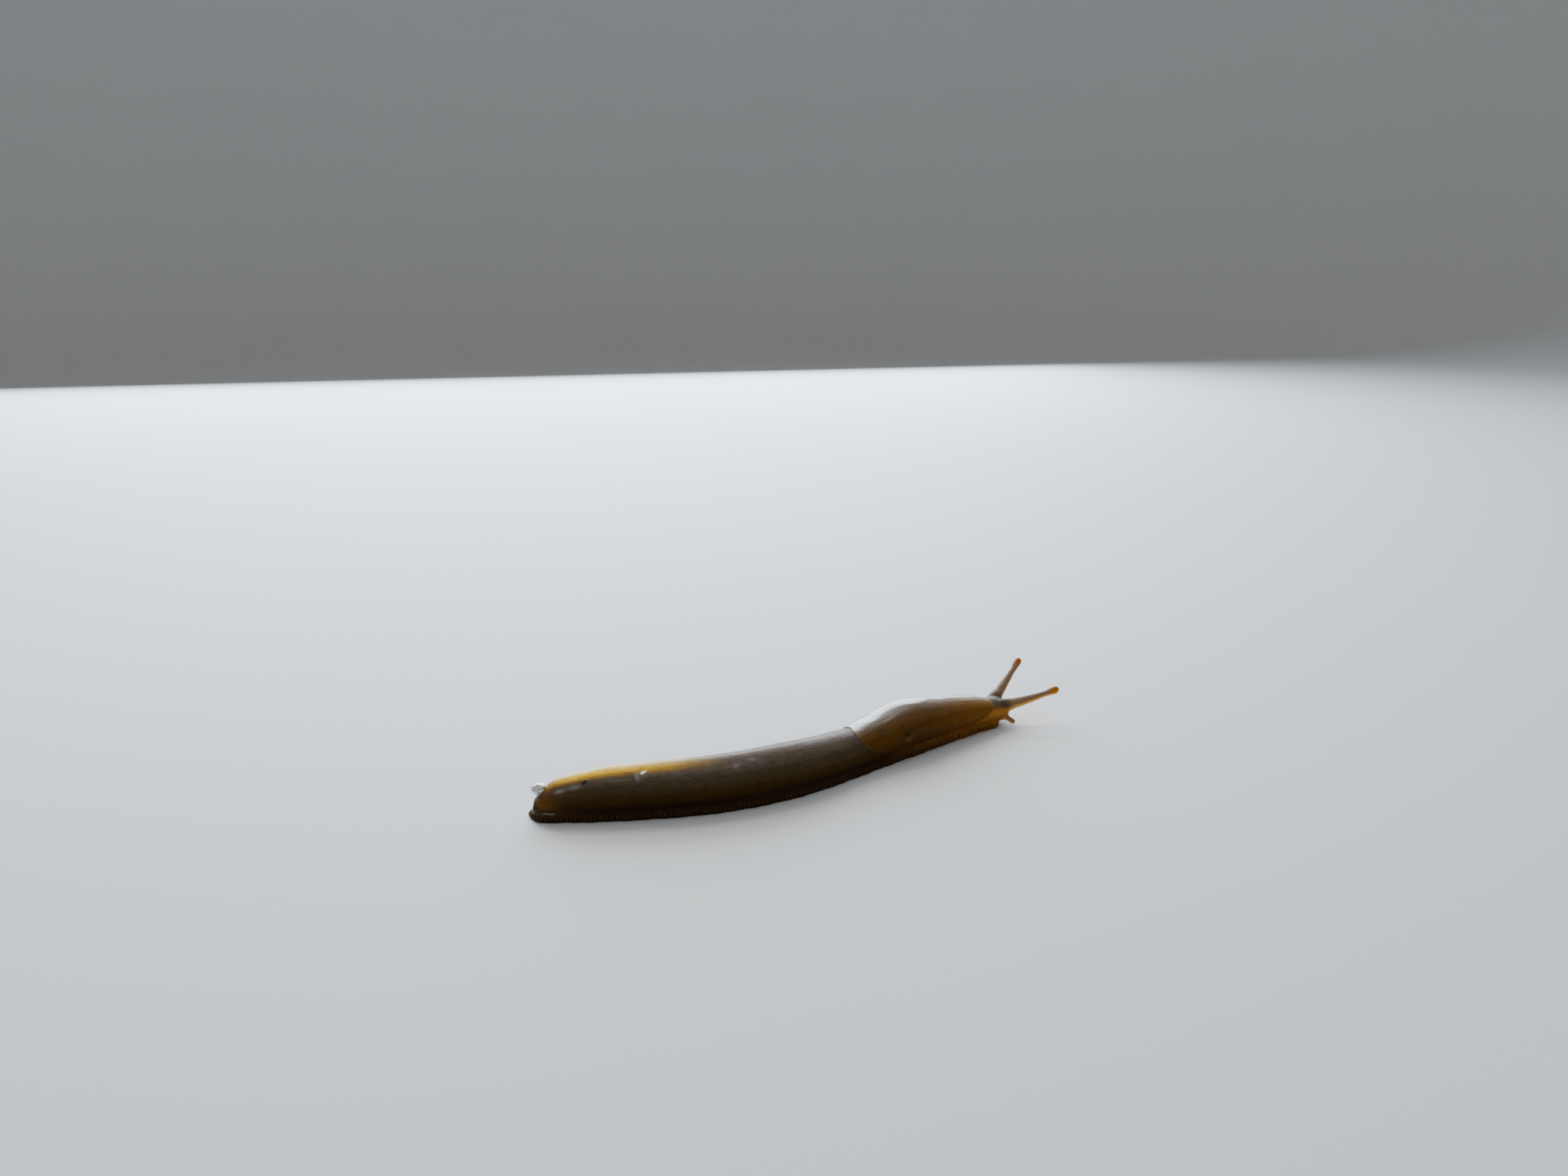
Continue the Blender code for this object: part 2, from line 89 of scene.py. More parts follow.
# Distance, half width, half width above the foot, height, keel.
SECTIONS = (
    (0.002, 0.0042, 0.0036, 0.0083, 1.40),
    (0.011, 0.0057, 0.0048, 0.0112, 1.40),
    (0.024, 0.0068, 0.0057, 0.0132, 1.30),
    (0.043, 0.0073, 0.0062, 0.0137, 1.18),
    (0.068, 0.0075, 0.0064, 0.0136, 1.08),
    (0.089, 0.0070, 0.0062, 0.0123, 1.00),
    (0.105, 0.0065, 0.0062, 0.0115, 1.00),
    (0.117, 0.0067, 0.0064, 0.0126, 1.00),
    (0.133, 0.0058, 0.0056, 0.0107, 1.00),
    (0.149, 0.0052, 0.0050, 0.0090, 1.00),
    (0.162, 0.0046, 0.0044, 0.0078, 1.00),
)
WIDEST_SHARE = 0.40
UNDERCUT_ANGLE = 35.0
TAIL_TIP, TAIL_ROUND, TAIL_TIP_HEIGHT = 0.0035, 0.0040, 0.0056
NOSE_TIP, NOSE_ROUND, NOSE_TIP_HEIGHT = 0.1608, 0.0040, 0.0046
# How much further back the end of the tail reaches at the foot than at the keel.
TAIL_SLOPE = 0.0034
FOOT_HEIGHT, FOOT_END, FOOT_ROUND = 0.0027, 0.157, 0.0050
FOOT_HALF_WIDTHS = (
    (0.000, 0.0044),
    (0.011, 0.0058),
    (0.024, 0.0068),
    (0.043, 0.0072),
    (0.068, 0.0075),
    (0.089, 0.0072),
    (0.117, 0.0073),
    (0.133, 0.0063),
    (0.149, 0.0051),
    (0.157, 0.0045),
)
# How much of the undercut above the foot stays once the skin covers it.
UNDERCUT_KEPT = 0.08
# How far the fringe stands out beyond the flank above it, at least.
FRINGE_PROUD = 0.0004
# Edge of the foot from its top to its sole: how far inside the outline, and how high.
FRINGE_PROFILE = (
    (0.0024, 0.00500),
    (0.0015, 0.00400),
    (0.0009, 0.00330),
    (0.0005, 0.00280),
    (0.00022, 0.00225),
    (0.00007, 0.00180),
    (0.0, 0.00135),
    (0.0, 0.00095),
    (0.00004, 0.00060),
    (0.00013, 0.00030),
    (0.00030, 0.00010),
    (0.00060, 0.0),
    (0.0012, 0.0),
)
# Share of a groove's depth at each point of the profile.
GROOVE_REACH = (0.0, 0.0, 0.0, 0.15, 0.45, 0.80, 1.0, 1.0, 1.0, 0.9, 0.7, 0.3, 0.0)
# Places across one fold of the fringe, and how deep the groove is at each.
FOLD_PLACES = (0.0, 0.08, 0.17, 0.32, 0.50, 0.68, 0.83, 0.92)
FOLD_DEPTHS = (1.0, 0.55, 0.08, -0.03, -0.06, -0.03, 0.08, 0.55)

# The front edge of the foot that is softened: how high it reaches, and how far round its tip.
TOE_HEIGHT, TOE_REACH = 0.0012, 0.0022

MANTLE_MIDDLE = 0.123
MANTLE_REACH_BACK, MANTLE_REACH_FRONT = 0.0270, 0.0293
# How much further back the rear margin lies on the right side than on the left.
MANTLE_SKEW = 0.0014
MANTLE_DROP = 116.0
MANTLE_REAR_SQUARENESS, MANTLE_FRONT_SQUARENESS = 3.2, 3.6
MANTLE_THICK, MANTLE_EDGE_THICK = 0.0024, 0.00045
MANTLE_EDGE_FULLNESS = 0.5
MANTLE_SINK = 0.0009
PORE_DISTANCE, PORE_ANGLE = 0.112, 18.0

# Feelers: the place of the root in the head, the heading from +X, the climb and the length.
EYE_FEELERS = {
    "right": {"side": -0.0022, "heading": -16.0, "climb": 14.5, "length": 0.0185, "bow": 0.0004},
    "left": {"side": 0.0022, "heading": 27.5, "climb": 27.5, "length": 0.0195, "bow": 0.0002},
}
EYE_FEELER_ROOT, EYE_FEELER_ROOT_HEIGHT = 0.1565, 0.0059
KNOB_RADIUS, KNOB_STRETCH = 0.0013, 1.15
# How thick the skin's knobs are, beside the solid ones.
KNOB_SHARE = 0.94
# Distance from the root and radius, the last ones back from the middle of the knob.
STALK_RADII = (
    (-0.0035, 0.0012),
    (-0.0020, 0.0023),
    (0.0, 0.0025),
    (0.0025, 0.0021),
    (0.0050, 0.00170),
    (0.0085, 0.00140),
    (0.0130, 0.00105),
    (0.0155, 0.00093),
)
LIP_FEELERS = {
    "right": {"side": -0.0027, "splay": -55.0, "climb": -26.0},
    "left": {"side": 0.0027, "splay": 42.0, "climb": -18.0},
}
LIP_FEELER_ROOT, LIP_FEELER_ROOT_HEIGHT = 0.1566, 0.0036
LIP_FEELER_LENGTH = 0.0042
LIP_FEELER_RADII = ((-0.0010, 0.0008), (0.0, 0.00150), (0.0018, 0.00105), (0.0034, 0.00085), (0.0042, 0.00092))
MOUTH_HEIGHT, MOUTH_HALF_WIDTH = 0.0040, 0.0017
LIP_THICK = 0.0006
# How far round the mouth the lips are smoothed, and how far their colours are evened out.
LIPS_SMOOTHED, LIPS_BLENDED = 0.0026, 0.0034
# The skin round an eye: how far it changes, the socket and the raised rim, which is the lid.
SOCKET_REACH, SOCKET_RADIUS, SOCKET_DEPTH = 0.0009, 0.00034, 0.00022
LID_RADIUS, LID_WIDTH, LID_HEIGHT = 0.00052, 0.00014, 0.00005

# How finely each part of the skin is divided, before the parts are joined.
FLESH_ROWS = 372
FLESH_COLUMNS = 128
END_ROWS = 14
MANTLE_SEGMENTS, MANTLE_RINGS = 300, 104
FEELER_ROWS, FEELER_COLUMNS = 122, 48
LIP_FEELER_ROWS, LIP_FEELER_COLUMNS = 30, 28
SINK = 0.0016

BODY_ZONE, MANTLE_ZONE, FOOT_ZONE, FEELER_ZONE = range(4)
FLESH_NODES = (
    "foot_rear",
    "foot_middle",
    "foot_front",
    "tail",
    "trunk_rear",
    "trunk_middle",
    "trunk_front",
    "neck",
    "head",
    "mantle",
    "upper_tentacle_right",
    "upper_tentacle_left",
    "eye_knob_right",
    "eye_knob_left",
    "lower_tentacle_right",
    "lower_tentacle_left",
)


def between(stations, at, column=1):
    """Reads a column of the stations at the distances given, on a smooth curve with no overshoot."""
    table = np.array(stations, dtype=float)
    x, y = table[:, 0], table[:, column]
    slopes = np.diff(y) / np.diff(x)
    tangents = np.concatenate([[slopes[0]], np.zeros(len(x) - 2), [slopes[-1]]])
    for i in range(1, len(x) - 1):
        if slopes[i - 1] * slopes[i] > 0:
            tangents[i] = 2 / (1 / slopes[i - 1] + 1 / slopes[i])
    at = np.clip(at, x[0], x[-1])
    i = np.clip(np.searchsorted(x, at) - 1, 0, len(x) - 2)
    width = x[i + 1] - x[i]
    t = (at - x[i]) / width
    return (
        (2 * t**3 - 3 * t**2 + 1) * y[i]
        + (t**3 - 2 * t**2 + t) * width * tangents[i]
        + (3 * t**2 - 2 * t**3) * y[i + 1]
        + (t**3 - t**2) * width * tangents[i + 1]
    )


def smooth_step(value, low, high):
    """0 below low, 1 above high and a soft rise between them."""
    t = np.clip((np.asarray(value, dtype=float) - low) / (high - low), 0.0, 1.0)
    return t * t * (3 - 2 * t)


def traced_spine():
    """Distances along the spine with the x and y of each, the middle of the body at the origin."""
    distances = np.arange(0.0, BODY_LENGTH + SPINE_STEP, SPINE_STEP)
    turns = np.radians(between(HEADINGS, distances[:-1] + SPINE_STEP / 2))
    x = np.concatenate([[0.0], np.cumsum(np.cos(turns)) * SPINE_STEP])
    y = np.concatenate([[0.0], np.cumsum(np.sin(turns)) * SPINE_STEP])
    return (
        distances,
        x - np.interp(MIDDLE, distances, x),
        y - np.interp(MIDDLE, distances, y),
    )


SPINE = traced_spine()


def beside_spine(distance, side, up):
    """The points at distances along the spine, so far to its left and so high."""
    distance, side, up = np.broadcast_arrays(distance, side, up)
    distances, x, y = SPINE
    turn = np.radians(between(HEADINGS, distance))
    over = distance - np.clip(distance, distances[0], distances[-1])
    return np.stack(
        (
            np.interp(distance, distances, x) + over * np.cos(turn) - side * np.sin(turn),
            np.interp(distance, distances, y) + over * np.sin(turn) + side * np.cos(turn),
            up,
        ),
        axis=-1,
    )


def section(distance, angle, grow=0.0):
    """How far to the side and how high the flesh is at distances and section angles."""
    half_width = between(SECTIONS, distance, 1) + grow
    tucked = between(SECTIONS, distance, 2) + grow
    base = half_width - UNDERCUT_KEPT * (half_width - tucked)
    height = between(SECTIONS, distance, 3) + grow
    keel = between(SECTIONS, distance, 4)
    bottom = FOOT_HEIGHT + GAP - grow
    widest = bottom + WIDEST_SHARE * (height - bottom)
    turn = np.radians(angle)
    across, rise = -np.cos(turn), np.sin(turn)
    low = math.radians(UNDERCUT_ANGLE)
    tuck = (1 - np.abs(across)) / (1 - math.cos(low))
    side = np.where(
        rise >= 0, half_width * np.abs(across) ** keel, half_width - (half_width - base) * tuck
    )
    up = np.where(
        rise >= 0,
        widest + (height - widest) * rise,
        widest + (widest - bottom) * rise / math.sin(low),
    )
    return np.copysign(side, across), up


def ends_closed(distance, side, up, grow=0.0, slope=0.0):
    """The points of a section, drawn in where the tail and the head round off.

    slope moves the points back along the spine.
    """
    from_tail = (distance - TAIL_TIP + grow) / (TAIL_ROUND + grow)
    from_nose = (NOSE_TIP + grow - distance) / (NOSE_ROUND + grow)
    tip_height = np.where(from_tail < from_nose, TAIL_TIP_HEIGHT, NOSE_TIP_HEIGHT)
    nearest = np.clip(np.minimum(from_tail, from_nose), 0.0, 1.0)
    fullness = np.sqrt(1 - (1 - nearest) ** 2)
    height = tip_height + (up - tip_height) * fullness
    low = 1 - smooth_step(height, 0.0015, 0.0085)
    backed = slope * low * (1 - smooth_step(distance, 0.0035, 0.0140))
    return beside_spine(distance - backed, side * fullness, height)


def flesh(distance, angle, grow=0.0):
    """The points of the flesh at distances and section angles, moved out by grow."""
    side, up = section(distance, angle, grow)
    return ends_closed(distance, side, up, grow)


def arch_angles(count):
    """Section angles that lie evenly along the arch of the flesh, and the arc from the back to each."""
    fine = np.linspace(-UNDERCUT_ANGLE, 180 + UNDERCUT_ANGLE, 2001)
    side, up = section(np.full_like(fine, MIDDLE), fine)
    arc = np.concatenate([[0.0], np.cumsum(np.hypot(np.diff(side), np.diff(up)))])
    places = np.linspace(0, arc[-1], count)
    return np.interp(places, arc, fine), places - arc[-1] / 2, (fine, arc - arc[-1] / 2)


ARCH = arch_angles(FLESH_COLUMNS)
HALF_ARCH = ARCH[1][-1]


def arc_at(angle):
    """The arc from the ridge of the back to a section angle, to the left as positive."""
    return np.interp(angle, *ARCH[2])


def flow_of(distance, angle):
    """Coordinates in millimetres that run along the furrows and across them.

    The furrows follow the body, and fan down and back from the rear edge of the mantle.
    """
    arc = arc_at(angle)
    behind = np.clip(MANTLE_MIDDLE - MANTLE_REACH_BACK + 0.004 - distance, -0.008, None)
    fan = 0.0042 * np.exp(-np.clip(behind, 0, None) / 0.016) * np.sin(np.pi * np.abs(arc) / HALF_ARCH)
    across = np.sign(arc) * (np.abs(arc) + fan)
    return np.stack((distance * 1000, across * 1000, np.zeros_like(distance)), axis=-1)


def cells(points, sample=noise.voronoi):
    """How far each point is from the border of its cell: 0 on the border, rising inwards."""
    found = np.empty(len(points))
    for i, point in enumerate(points):
        near = sample(point)[0]
        found[i] = near[1] - near[0]
    return found


def rough(points, seed=0.0):
    """Smooth noise from -1 to 1 at each point."""
    return np.array([noise.noise((x + seed, y, z)) for x, y, z in points])


def furrow_depth(distance, angle, settings):
    """How far the furrows of the flesh draw the skin in, always below 0."""
    flow = flow_of(distance, angle)
    wander = rough(flow / 14.0, 31.0) * 0.5
    across = flow[:, 1] / (settings.furrow_pitch * 1000) + wander
    stretched = np.stack((flow[:, 0] / (settings.furrow_length * 1000), across, 0 * across), axis=-1)
    edge = cells(stretched)
    strength = 1.0 - 0.5 * smooth_step(back_share(angle), 0.75, 0.95)
    return -settings.furrow_depth * strength * (1 - smooth_step(edge, 0.0, 0.45))


def blot(distance, angle, place, where, length, width, slant=0.0):
    """A soft round mark on the flesh, at a distance and a section angle: 1 in its middle."""
    dx, dy = distance - place, arc_at(angle) - arc_at(where)
    dx = dx - slant * dy
    return np.exp(-((dx / length) ** 2) - (dy / width) ** 2)


# Small dents of the flesh, then soft swellings of the cheeks and the brow. How far each stands out, then
# its distance, section angle, length, width and slant.
DENTS = (
    (-0.000132, 0.0087, 36.0, 0.0016, 0.0009, 0.2),
    (-0.000120, 0.0128, 40.0, 0.0018, 0.0009, 0.0),
    (0.000090, 0.0154, 52.0, 0.0006, 0.0005, 0.0),
    (-0.000252, 0.0300, 52.0, 0.0008, 0.0022, 0.55),
    (-0.000096, 0.0602, 63.0, 0.0013, 0.0008, 0.3),
    (-0.000120, 0.0552, 52.0, 0.0009, 0.0014, 0.2),
    (-0.000108, 0.0400, 128.0, 0.0015, 0.0010, 0.3),
    (-0.000108, 0.0720, 140.0, 0.0009, 0.0016, -0.4),
)
SWELLINGS = (
    (0.00055, 0.1550, 5.0, 0.0040, 0.0030),
    (0.00055, 0.1550, 175.0, 0.0040, 0.0030),
    (0.00020, 0.1585, 90.0, 0.0030, 0.0045),
    (0.00050, 0.1480, -20.0, 0.0080, 0.0016),
    (0.00050, 0.1480, 200.0, 0.0080, 0.0016),
)


def standing_out(forms, distance, angle):
    """How far the dents or swellings move the flesh, outwards as positive."""
    return sum(height * blot(distance, angle, *form) for height, *form in forms)


def select_only(made):
    """Makes the object the only one that is selected, and the active one."""
    bpy.ops.object.select_all(action="DESELECT")
    made.select_set(True)
    bpy.context.view_layer.objects.active = made


def edit_points(made, chosen):
    """Opens the object in edit mode with only the chosen points selected."""
    select_only(made)
    made.data.vertices.foreach_set("select", chosen)
    made.data.edges.foreach_set("select", np.zeros(len(made.data.edges), bool))
    made.data.polygons.foreach_set("select", np.zeros(len(made.data.polygons), bool))
    bpy.ops.object.mode_set(mode="EDIT")
    bpy.ops.mesh.select_mode(type="VERT")


def coordinates(made):
    """The place of each point of the mesh."""
    flat = np.empty(len(made.data.vertices) * 3, np.float32)
    made.data.vertices.foreach_get("co", flat)
    return flat.reshape(-1, 3).astype(float)


def move_to(made, points):
    """Moves each point of the mesh to its new place."""
    made.data.vertices.foreach_set("co", np.asarray(points, np.float32).ravel())
    made.data.update()


def rolled_grid(name, rows, columns):
    """A grid of so many rows and columns of points, with the row and the column of each point."""
    bpy.ops.object.select_all(action="DESELECT")
    bpy.ops.mesh.primitive_grid_add(
        x_subdivisions=rows - 1, y_subdivisions=columns - 1, size=2.0, location=(0, 0, 0)
    )
    made = bpy.context.active_object
    made.name = name
    flat = coordinates(made)
    row = np.rint((flat[:, 0] + 1) / 2 * (rows - 1)).astype(int)
    column = np.rint((flat[:, 1] + 1) / 2 * (columns - 1)).astype(int)
    return made, row, column


def closed_up(made, threshold=2e-6):
    """Merges the seam and the ends of a rolled grid, and turns its faces outwards."""
    select_only(made)
    bpy.ops.object.mode_set(mode="EDIT")
    bpy.ops.mesh.select_all(action="SELECT")
    bpy.ops.mesh.remove_doubles(threshold=threshold)
    bpy.ops.mesh.dissolve_degenerate(threshold=1e-7)
    bpy.ops.mesh.normals_make_consistent(inside=False)
    bpy.ops.object.mode_set(mode="OBJECT")
    return made


# What the materials read from the points, beside the flow. kept is 1 on all but the points of a fresh join.
SKIN_VALUES = ("along", "back", "fringe", "groove", "feeler", "shade", "pale")
POINT_VALUES = ("kept", *SKIN_VALUES)


def store_values(made, name, values):
    """Stores one value for each point under a name."""
    made.data.attributes[name].data.foreach_set("value", values.astype(np.float32))


def store_flow(made, flow):
    """Stores the flow coordinates of each point."""
    made.data.attributes["flow"].data.foreach_set("vector", np.asarray(flow, np.float32).ravel())


def write_values(made, flow, **values):
    """Gives the object its values, 1 as kept and 0 under the names left out."""
    count = len(made.data.vertices)
    values["kept"] = 1.0
    for name in POINT_VALUES:
        made.data.attributes.new(name, "FLOAT", "POINT")
        store_values(made, name, np.broadcast_to(values.get(name, 0.0), count))
    made.data.attributes.new("flow", "FLOAT_VECTOR", "POINT")
    store_flow(made, flow)


def read_values(made, name):
    """The value that each point has under a name."""
    flat = np.empty(len(made.data.vertices), np.float32)
    made.data.attributes[name].data.foreach_get("value", flat)
    return flat.astype(float)


def read_flow(made):
    """The flow coordinates of each point."""
    flat = np.empty(len(made.data.vertices) * 3, np.float32)
    made.data.attributes["flow"].data.foreach_get("vector", flat)
    return flat.reshape(-1, 3).astype(float)


def in_zone(made, zone):
    """Gives the object the skin's zones and puts all its faces in one of them."""
    made.data.materials.clear()
    for name in ("body skin", "mantle skin", "body skin", "body skin"):
        made.data.materials.append(bpy.data.materials[name])
    made.data.polygons.foreach_set("material_index", np.full(len(made.data.polygons), zone, np.int32))
    return made


def back_share(angle):
    """1 on the ridge of the back, falling along the arch to 0 at the foot."""
    return 1 - np.abs(arc_at(angle)) / HALF_ARCH


def build_flesh(settings):
    """The tail, the trunk, the neck and the head, rolled from one grid with furrows along it."""
    quarter = np.linspace(0, math.pi / 2, END_ROWS)
    trunk = np.linspace(TAIL_TIP + TAIL_ROUND, NOSE_TIP - NOSE_ROUND, FLESH_ROWS - 2 * END_ROWS + 2)
    marks = np.concatenate(
        [
            TAIL_TIP + TAIL_ROUND * (1 - np.cos(quarter)),
            trunk[1:-1],
            NOSE_TIP - NOSE_ROUND * (1 - np.sin(quarter)),
        ]
    )
    sink_steps, floor_steps = 3, 5
    columns = FLESH_COLUMNS + 2 * sink_steps + floor_steps + 1
    made, row, column = rolled_grid("skin", FLESH_ROWS, columns)
    distance = marks[row]
    angle = ARCH[0][np.minimum(column, FLESH_COLUMNS - 1)]
    last = FLESH_COLUMNS - 1
    under = column - last
    leaving = np.clip(under / sink_steps, 0, 1)
    crossing = np.clip((under - sink_steps) / (floor_steps + 1), 0, 1)
    rising = np.clip((under - sink_steps - floor_steps - 1) / sink_steps, 0, 1)
    ends = smooth_step(distance, 0.004, 0.008) * (1 - smooth_step(distance, 0.1440, 0.1520))
    detail = np.zeros_like(distance)
    shown = column <= last
    detail[shown] = furrow_depth(distance[shown], angle[shown], settings) * ends[shown]
    detail += standing_out(DENTS, distance, angle) * smooth_step(distance, 0.004, 0.006)
    detail += standing_out(SWELLINGS, distance, angle)
    detail *= smooth_step(HALF_ARCH - np.abs(arc_at(angle)), 0.0, 0.0009)
    side, up = section(distance, angle, detail)
    low = smooth_step(-np.sin(np.radians(angle)) / math.sin(math.radians(UNDERCUT_ANGLE)), 0.0, 1.0)
    limit = between(FOOT_HALF_WIDTHS, distance) - FRINGE_PROUD
    side = np.copysign(np.abs(side) - low * np.clip(np.abs(side) - limit, 0, None), side)
    side = np.where(under > 0, side * (1 - 2 * crossing) * (1 - 0.06 * np.minimum(leaving, 1 - rising)), side)
    up = np.where(under > 0, up - SINK * np.minimum(leaving, 1 - rising), up)
    move_to(made, ends_closed(distance, side, up, slope=TAIL_SLOPE))
    nearer = np.where(crossing > 0.5, ARCH[0][0], angle)
    write_values(
        made,
        flow_of(distance, nearer),
        along=distance / BODY_LENGTH,
        back=np.where(under > 0, 0.0, back_share(angle)),
        shade=marked(SHADES, distance, angle),
        pale=marked(PALE_SPOTS, distance, angle),
    )
    return in_zone(closed_up(made), BODY_ZONE)


# Spots where the skin is darker, then where it is paler: strength, distance, angle, length and width.
SHADES = (
    (0.5, 0.0060, 30.0, 0.0013, 0.0022),
    # Beside the crease near the tail: painted shade.
    (0.5, 0.0270, 58.0, 0.0020, 0.0008),
    (0.4, 0.1040, 45.0, 0.0026, 0.0008),
    # In the opening of the breathing pore and round it: painted shade.
    (1.0, PORE_DISTANCE, PORE_ANGLE, 0.0011, 0.0005),
    (0.3, PORE_DISTANCE, PORE_ANGLE + 4.0, 0.0030, 0.0011),
    (0.45, 0.1350, 130.0, 0.0030, 0.0015),
    (0.5, 0.0500, 150.0, 0.0012, 0.0009),
)
PALE_SPOTS = (
    # On the small dents of the tail and the flank: painted highlights.
    (0.5, 0.0087, 36.0, 0.0013, 0.0007),
    (0.3, 0.0128, 40.0, 0.0015, 0.0007),
    (0.2, 0.0602, 63.0, 0.0012, 0.0007),
    (0.2, 0.0552, 52.0, 0.0007, 0.0012),
    # Below the pore: paler.
    (0.3, PORE_DISTANCE, PORE_ANGLE - 11.0, 0.0012, 0.0009),
    # Below the glint in the crease: a painted reflection.
    (0.6, 0.0292, 51.0, 0.0005, 0.0012),
)


def marked(spots, distance, angle):
    """How strong the spots are at distances and section angles, from 0 to 1."""
    total = np.zeros_like(distance)
    for strength, *spot in spots:
        total += strength * blot(distance, angle, *spot)
    return np.clip(total, 0, 1)


def foot_outline(distance):
    """How far the foot reaches to each side, its two ends rounded."""
    half_width = between(FOOT_HALF_WIDTHS, distance)
    nearest = np.minimum(distance, FOOT_END - distance) / FOOT_ROUND
    return half_width * np.sqrt(np.clip(1 - (1 - np.clip(nearest, 0, 1)) ** 2, 0, 1))


def fringe_marks(settings):
    """Distances of the points of the fringe, with the fold and the depth of the groove at each."""
    fine = FOOT_END * (1 - np.cos(np.linspace(0, math.pi, 6001))) / 2
    edge = beside_spine(fine, -foot_outline(fine), 0.0)[:, :2]
    run = np.concatenate([[0.0], np.cumsum(np.hypot(*np.diff(edge, axis=0).T))])
    rng = np.random.default_rng(7)
    count = int(run[-1] / settings.groove_pitch)
    pitches = 1 + 0.44 * (rng.random(count) - 0.5)
    starts = np.concatenate([[0.0], np.cumsum(pitches)]) / pitches.sum() * run[-1]
    places = [
        start + share * (following - start)
        for start, following in zip(starts, starts[1:])
        for share in FOLD_PLACES
    ]
    places = np.array(places + [run[-1]])
    fold = np.arange(len(places)) // len(FOLD_PLACES)
    depth = np.tile(FOLD_DEPTHS, count + 1)[: len(places)]
    ends = smooth_step(places, 0.0, 0.003) * smooth_step(run[-1] - places, 0.0, 0.003)
    return np.interp(places, run, fine), fold, depth * ends, rng


def build_foot(settings):
    """The foot with its flat sole, and the upright grooves all round its fringe."""
    marks, fold, depth, rng = fringe_marks(settings)
    profile = np.array(FRINGE_PROFILE)
    reach = np.array(GROOVE_REACH)
    sole_steps, top_steps = 6, 3
    edge_count = len(profile)
    columns = 2 * edge_count + sole_steps + top_steps - 1
    made, row, column = rolled_grid("foot part", len(marks), columns)
    strength = {side: 0.60 + 0.65 * rng.random(fold.max() + 1) for side in (-1, 1)}
    lean = {side: rng.normal(0.0, 0.10, fold.max() + 1) for side in (-1, 1)}
    outline = foot_outline(marks)
    points, groove = {}, {}
    for side in (-1, 1):
        line = beside_spine(marks, side * outline, 0.0)[:, :2]
        ahead = np.gradient(line, axis=0)
        ahead /= np.linalg.norm(ahead, axis=1)[:, None]
        out = np.stack((ahead[:, 1], -ahead[:, 0]), axis=1) * -side
        tips = beside_spine(np.array([0.0, 1.0]), 0.0, 0.0)[:, :2]
        along = (tips[1] - tips[0]) / np.linalg.norm(tips[1] - tips[0])
        out[0], out[-1] = -along, along
        waves = 0.00010 * np.sin(marks * 2 * math.pi / 0.0113 + side) + 0.00008 * np.sin(
            marks * 2 * math.pi / 0.0047 + 2 * side
        )
        cut = depth * strength[side][fold] * settings.groove_depth
        for k in range(edge_count):
            inset, up = profile[k]
            if k < 6:
                up = np.interp(np.minimum(inset, outline), profile[6::-1, 0], profile[6::-1, 1])
            drawn = inset + np.where(reach[k] > 0, cut * reach[k], 0.0) - waves * min(1.0, 0.3 + reach[k])
            drawn = np.minimum(drawn, np.maximum(outline - 0.00002, 0.0))
            shifted = line + ahead * (lean[side][fold] * (up - 0.001))[:, None] * reach[k]
            spot = shifted - out * drawn[:, None]
            height = up * (0.55 + 0.45 * smooth_step(marks, 0.0, 0.0075))
            points[side, k] = np.concatenate([spot, height[:, None]], axis=1)
            groove[side, k] = np.clip(depth, 0, 1) * strength[side][fold] * reach[k]
    loop = [points[-1, k] for k in range(edge_count)]
    loop += [
        points[-1, edge_count - 1] * (1 - t) + points[1, edge_count - 1] * t
        for t in np.linspace(0, 1, sole_steps + 1)[1:-1]
    ]
    loop += [points[1, k] for k in reversed(range(edge_count))]
    loop += [
        points[1, 0] * (1 - t) + points[-1, 0] * t for t in np.linspace(0, 1, top_steps + 1)[1:]
    ]
    blank = np.zeros(len(marks))
    deep = [groove[-1, k] for k in range(edge_count)] + [blank] * (sole_steps - 1)
    deep += [groove[1, k] for k in reversed(range(edge_count))] + [blank] * top_steps
    loop, deep = np.array(loop), np.array(deep)
    placed = loop[column, row]
    placed[row == 0] = mirrored_end(loop[:, 0], column[row == 0])
    placed[row == len(marks) - 1] = mirrored_end(loop[:, -1], column[row == len(marks) - 1])
    move_to(made, placed)
    distance = marks[row]
    hand = np.where(column < columns / 2, -1.0, 1.0)
    across = hand * (HALF_ARCH * 1000 + 3.0 - placed[:, 2] * 1000)
    flow = np.stack((distance * 1000, across, np.zeros_like(distance)), axis=-1)
    write_values(
        made,
        flow,
        along=distance / BODY_LENGTH,
        fringe=1 - smooth_step(placed[:, 2], 0.0013, 0.0024),
        groove=deep[column, row],
    )
    return in_zone(closed_up(made), FOOT_ZONE)


def mirrored_end(loop, column):
    """The points of an end ring, where the left and the right edge are one."""
    edge_count = len(FRINGE_PROFILE)
    right = loop[:edge_count]
    first_left = len(loop) - 3 - edge_count
    left = loop[first_left : first_left + edge_count][::-1]
    shared = (right + left) / 2
    ring = loop.copy()
    ring[:edge_count] = shared
    ring[first_left : first_left + edge_count] = shared[::-1]
    ring[edge_count:first_left] = shared[-1]
    ring[first_left + edge_count :] = shared[0]
    return ring[column]


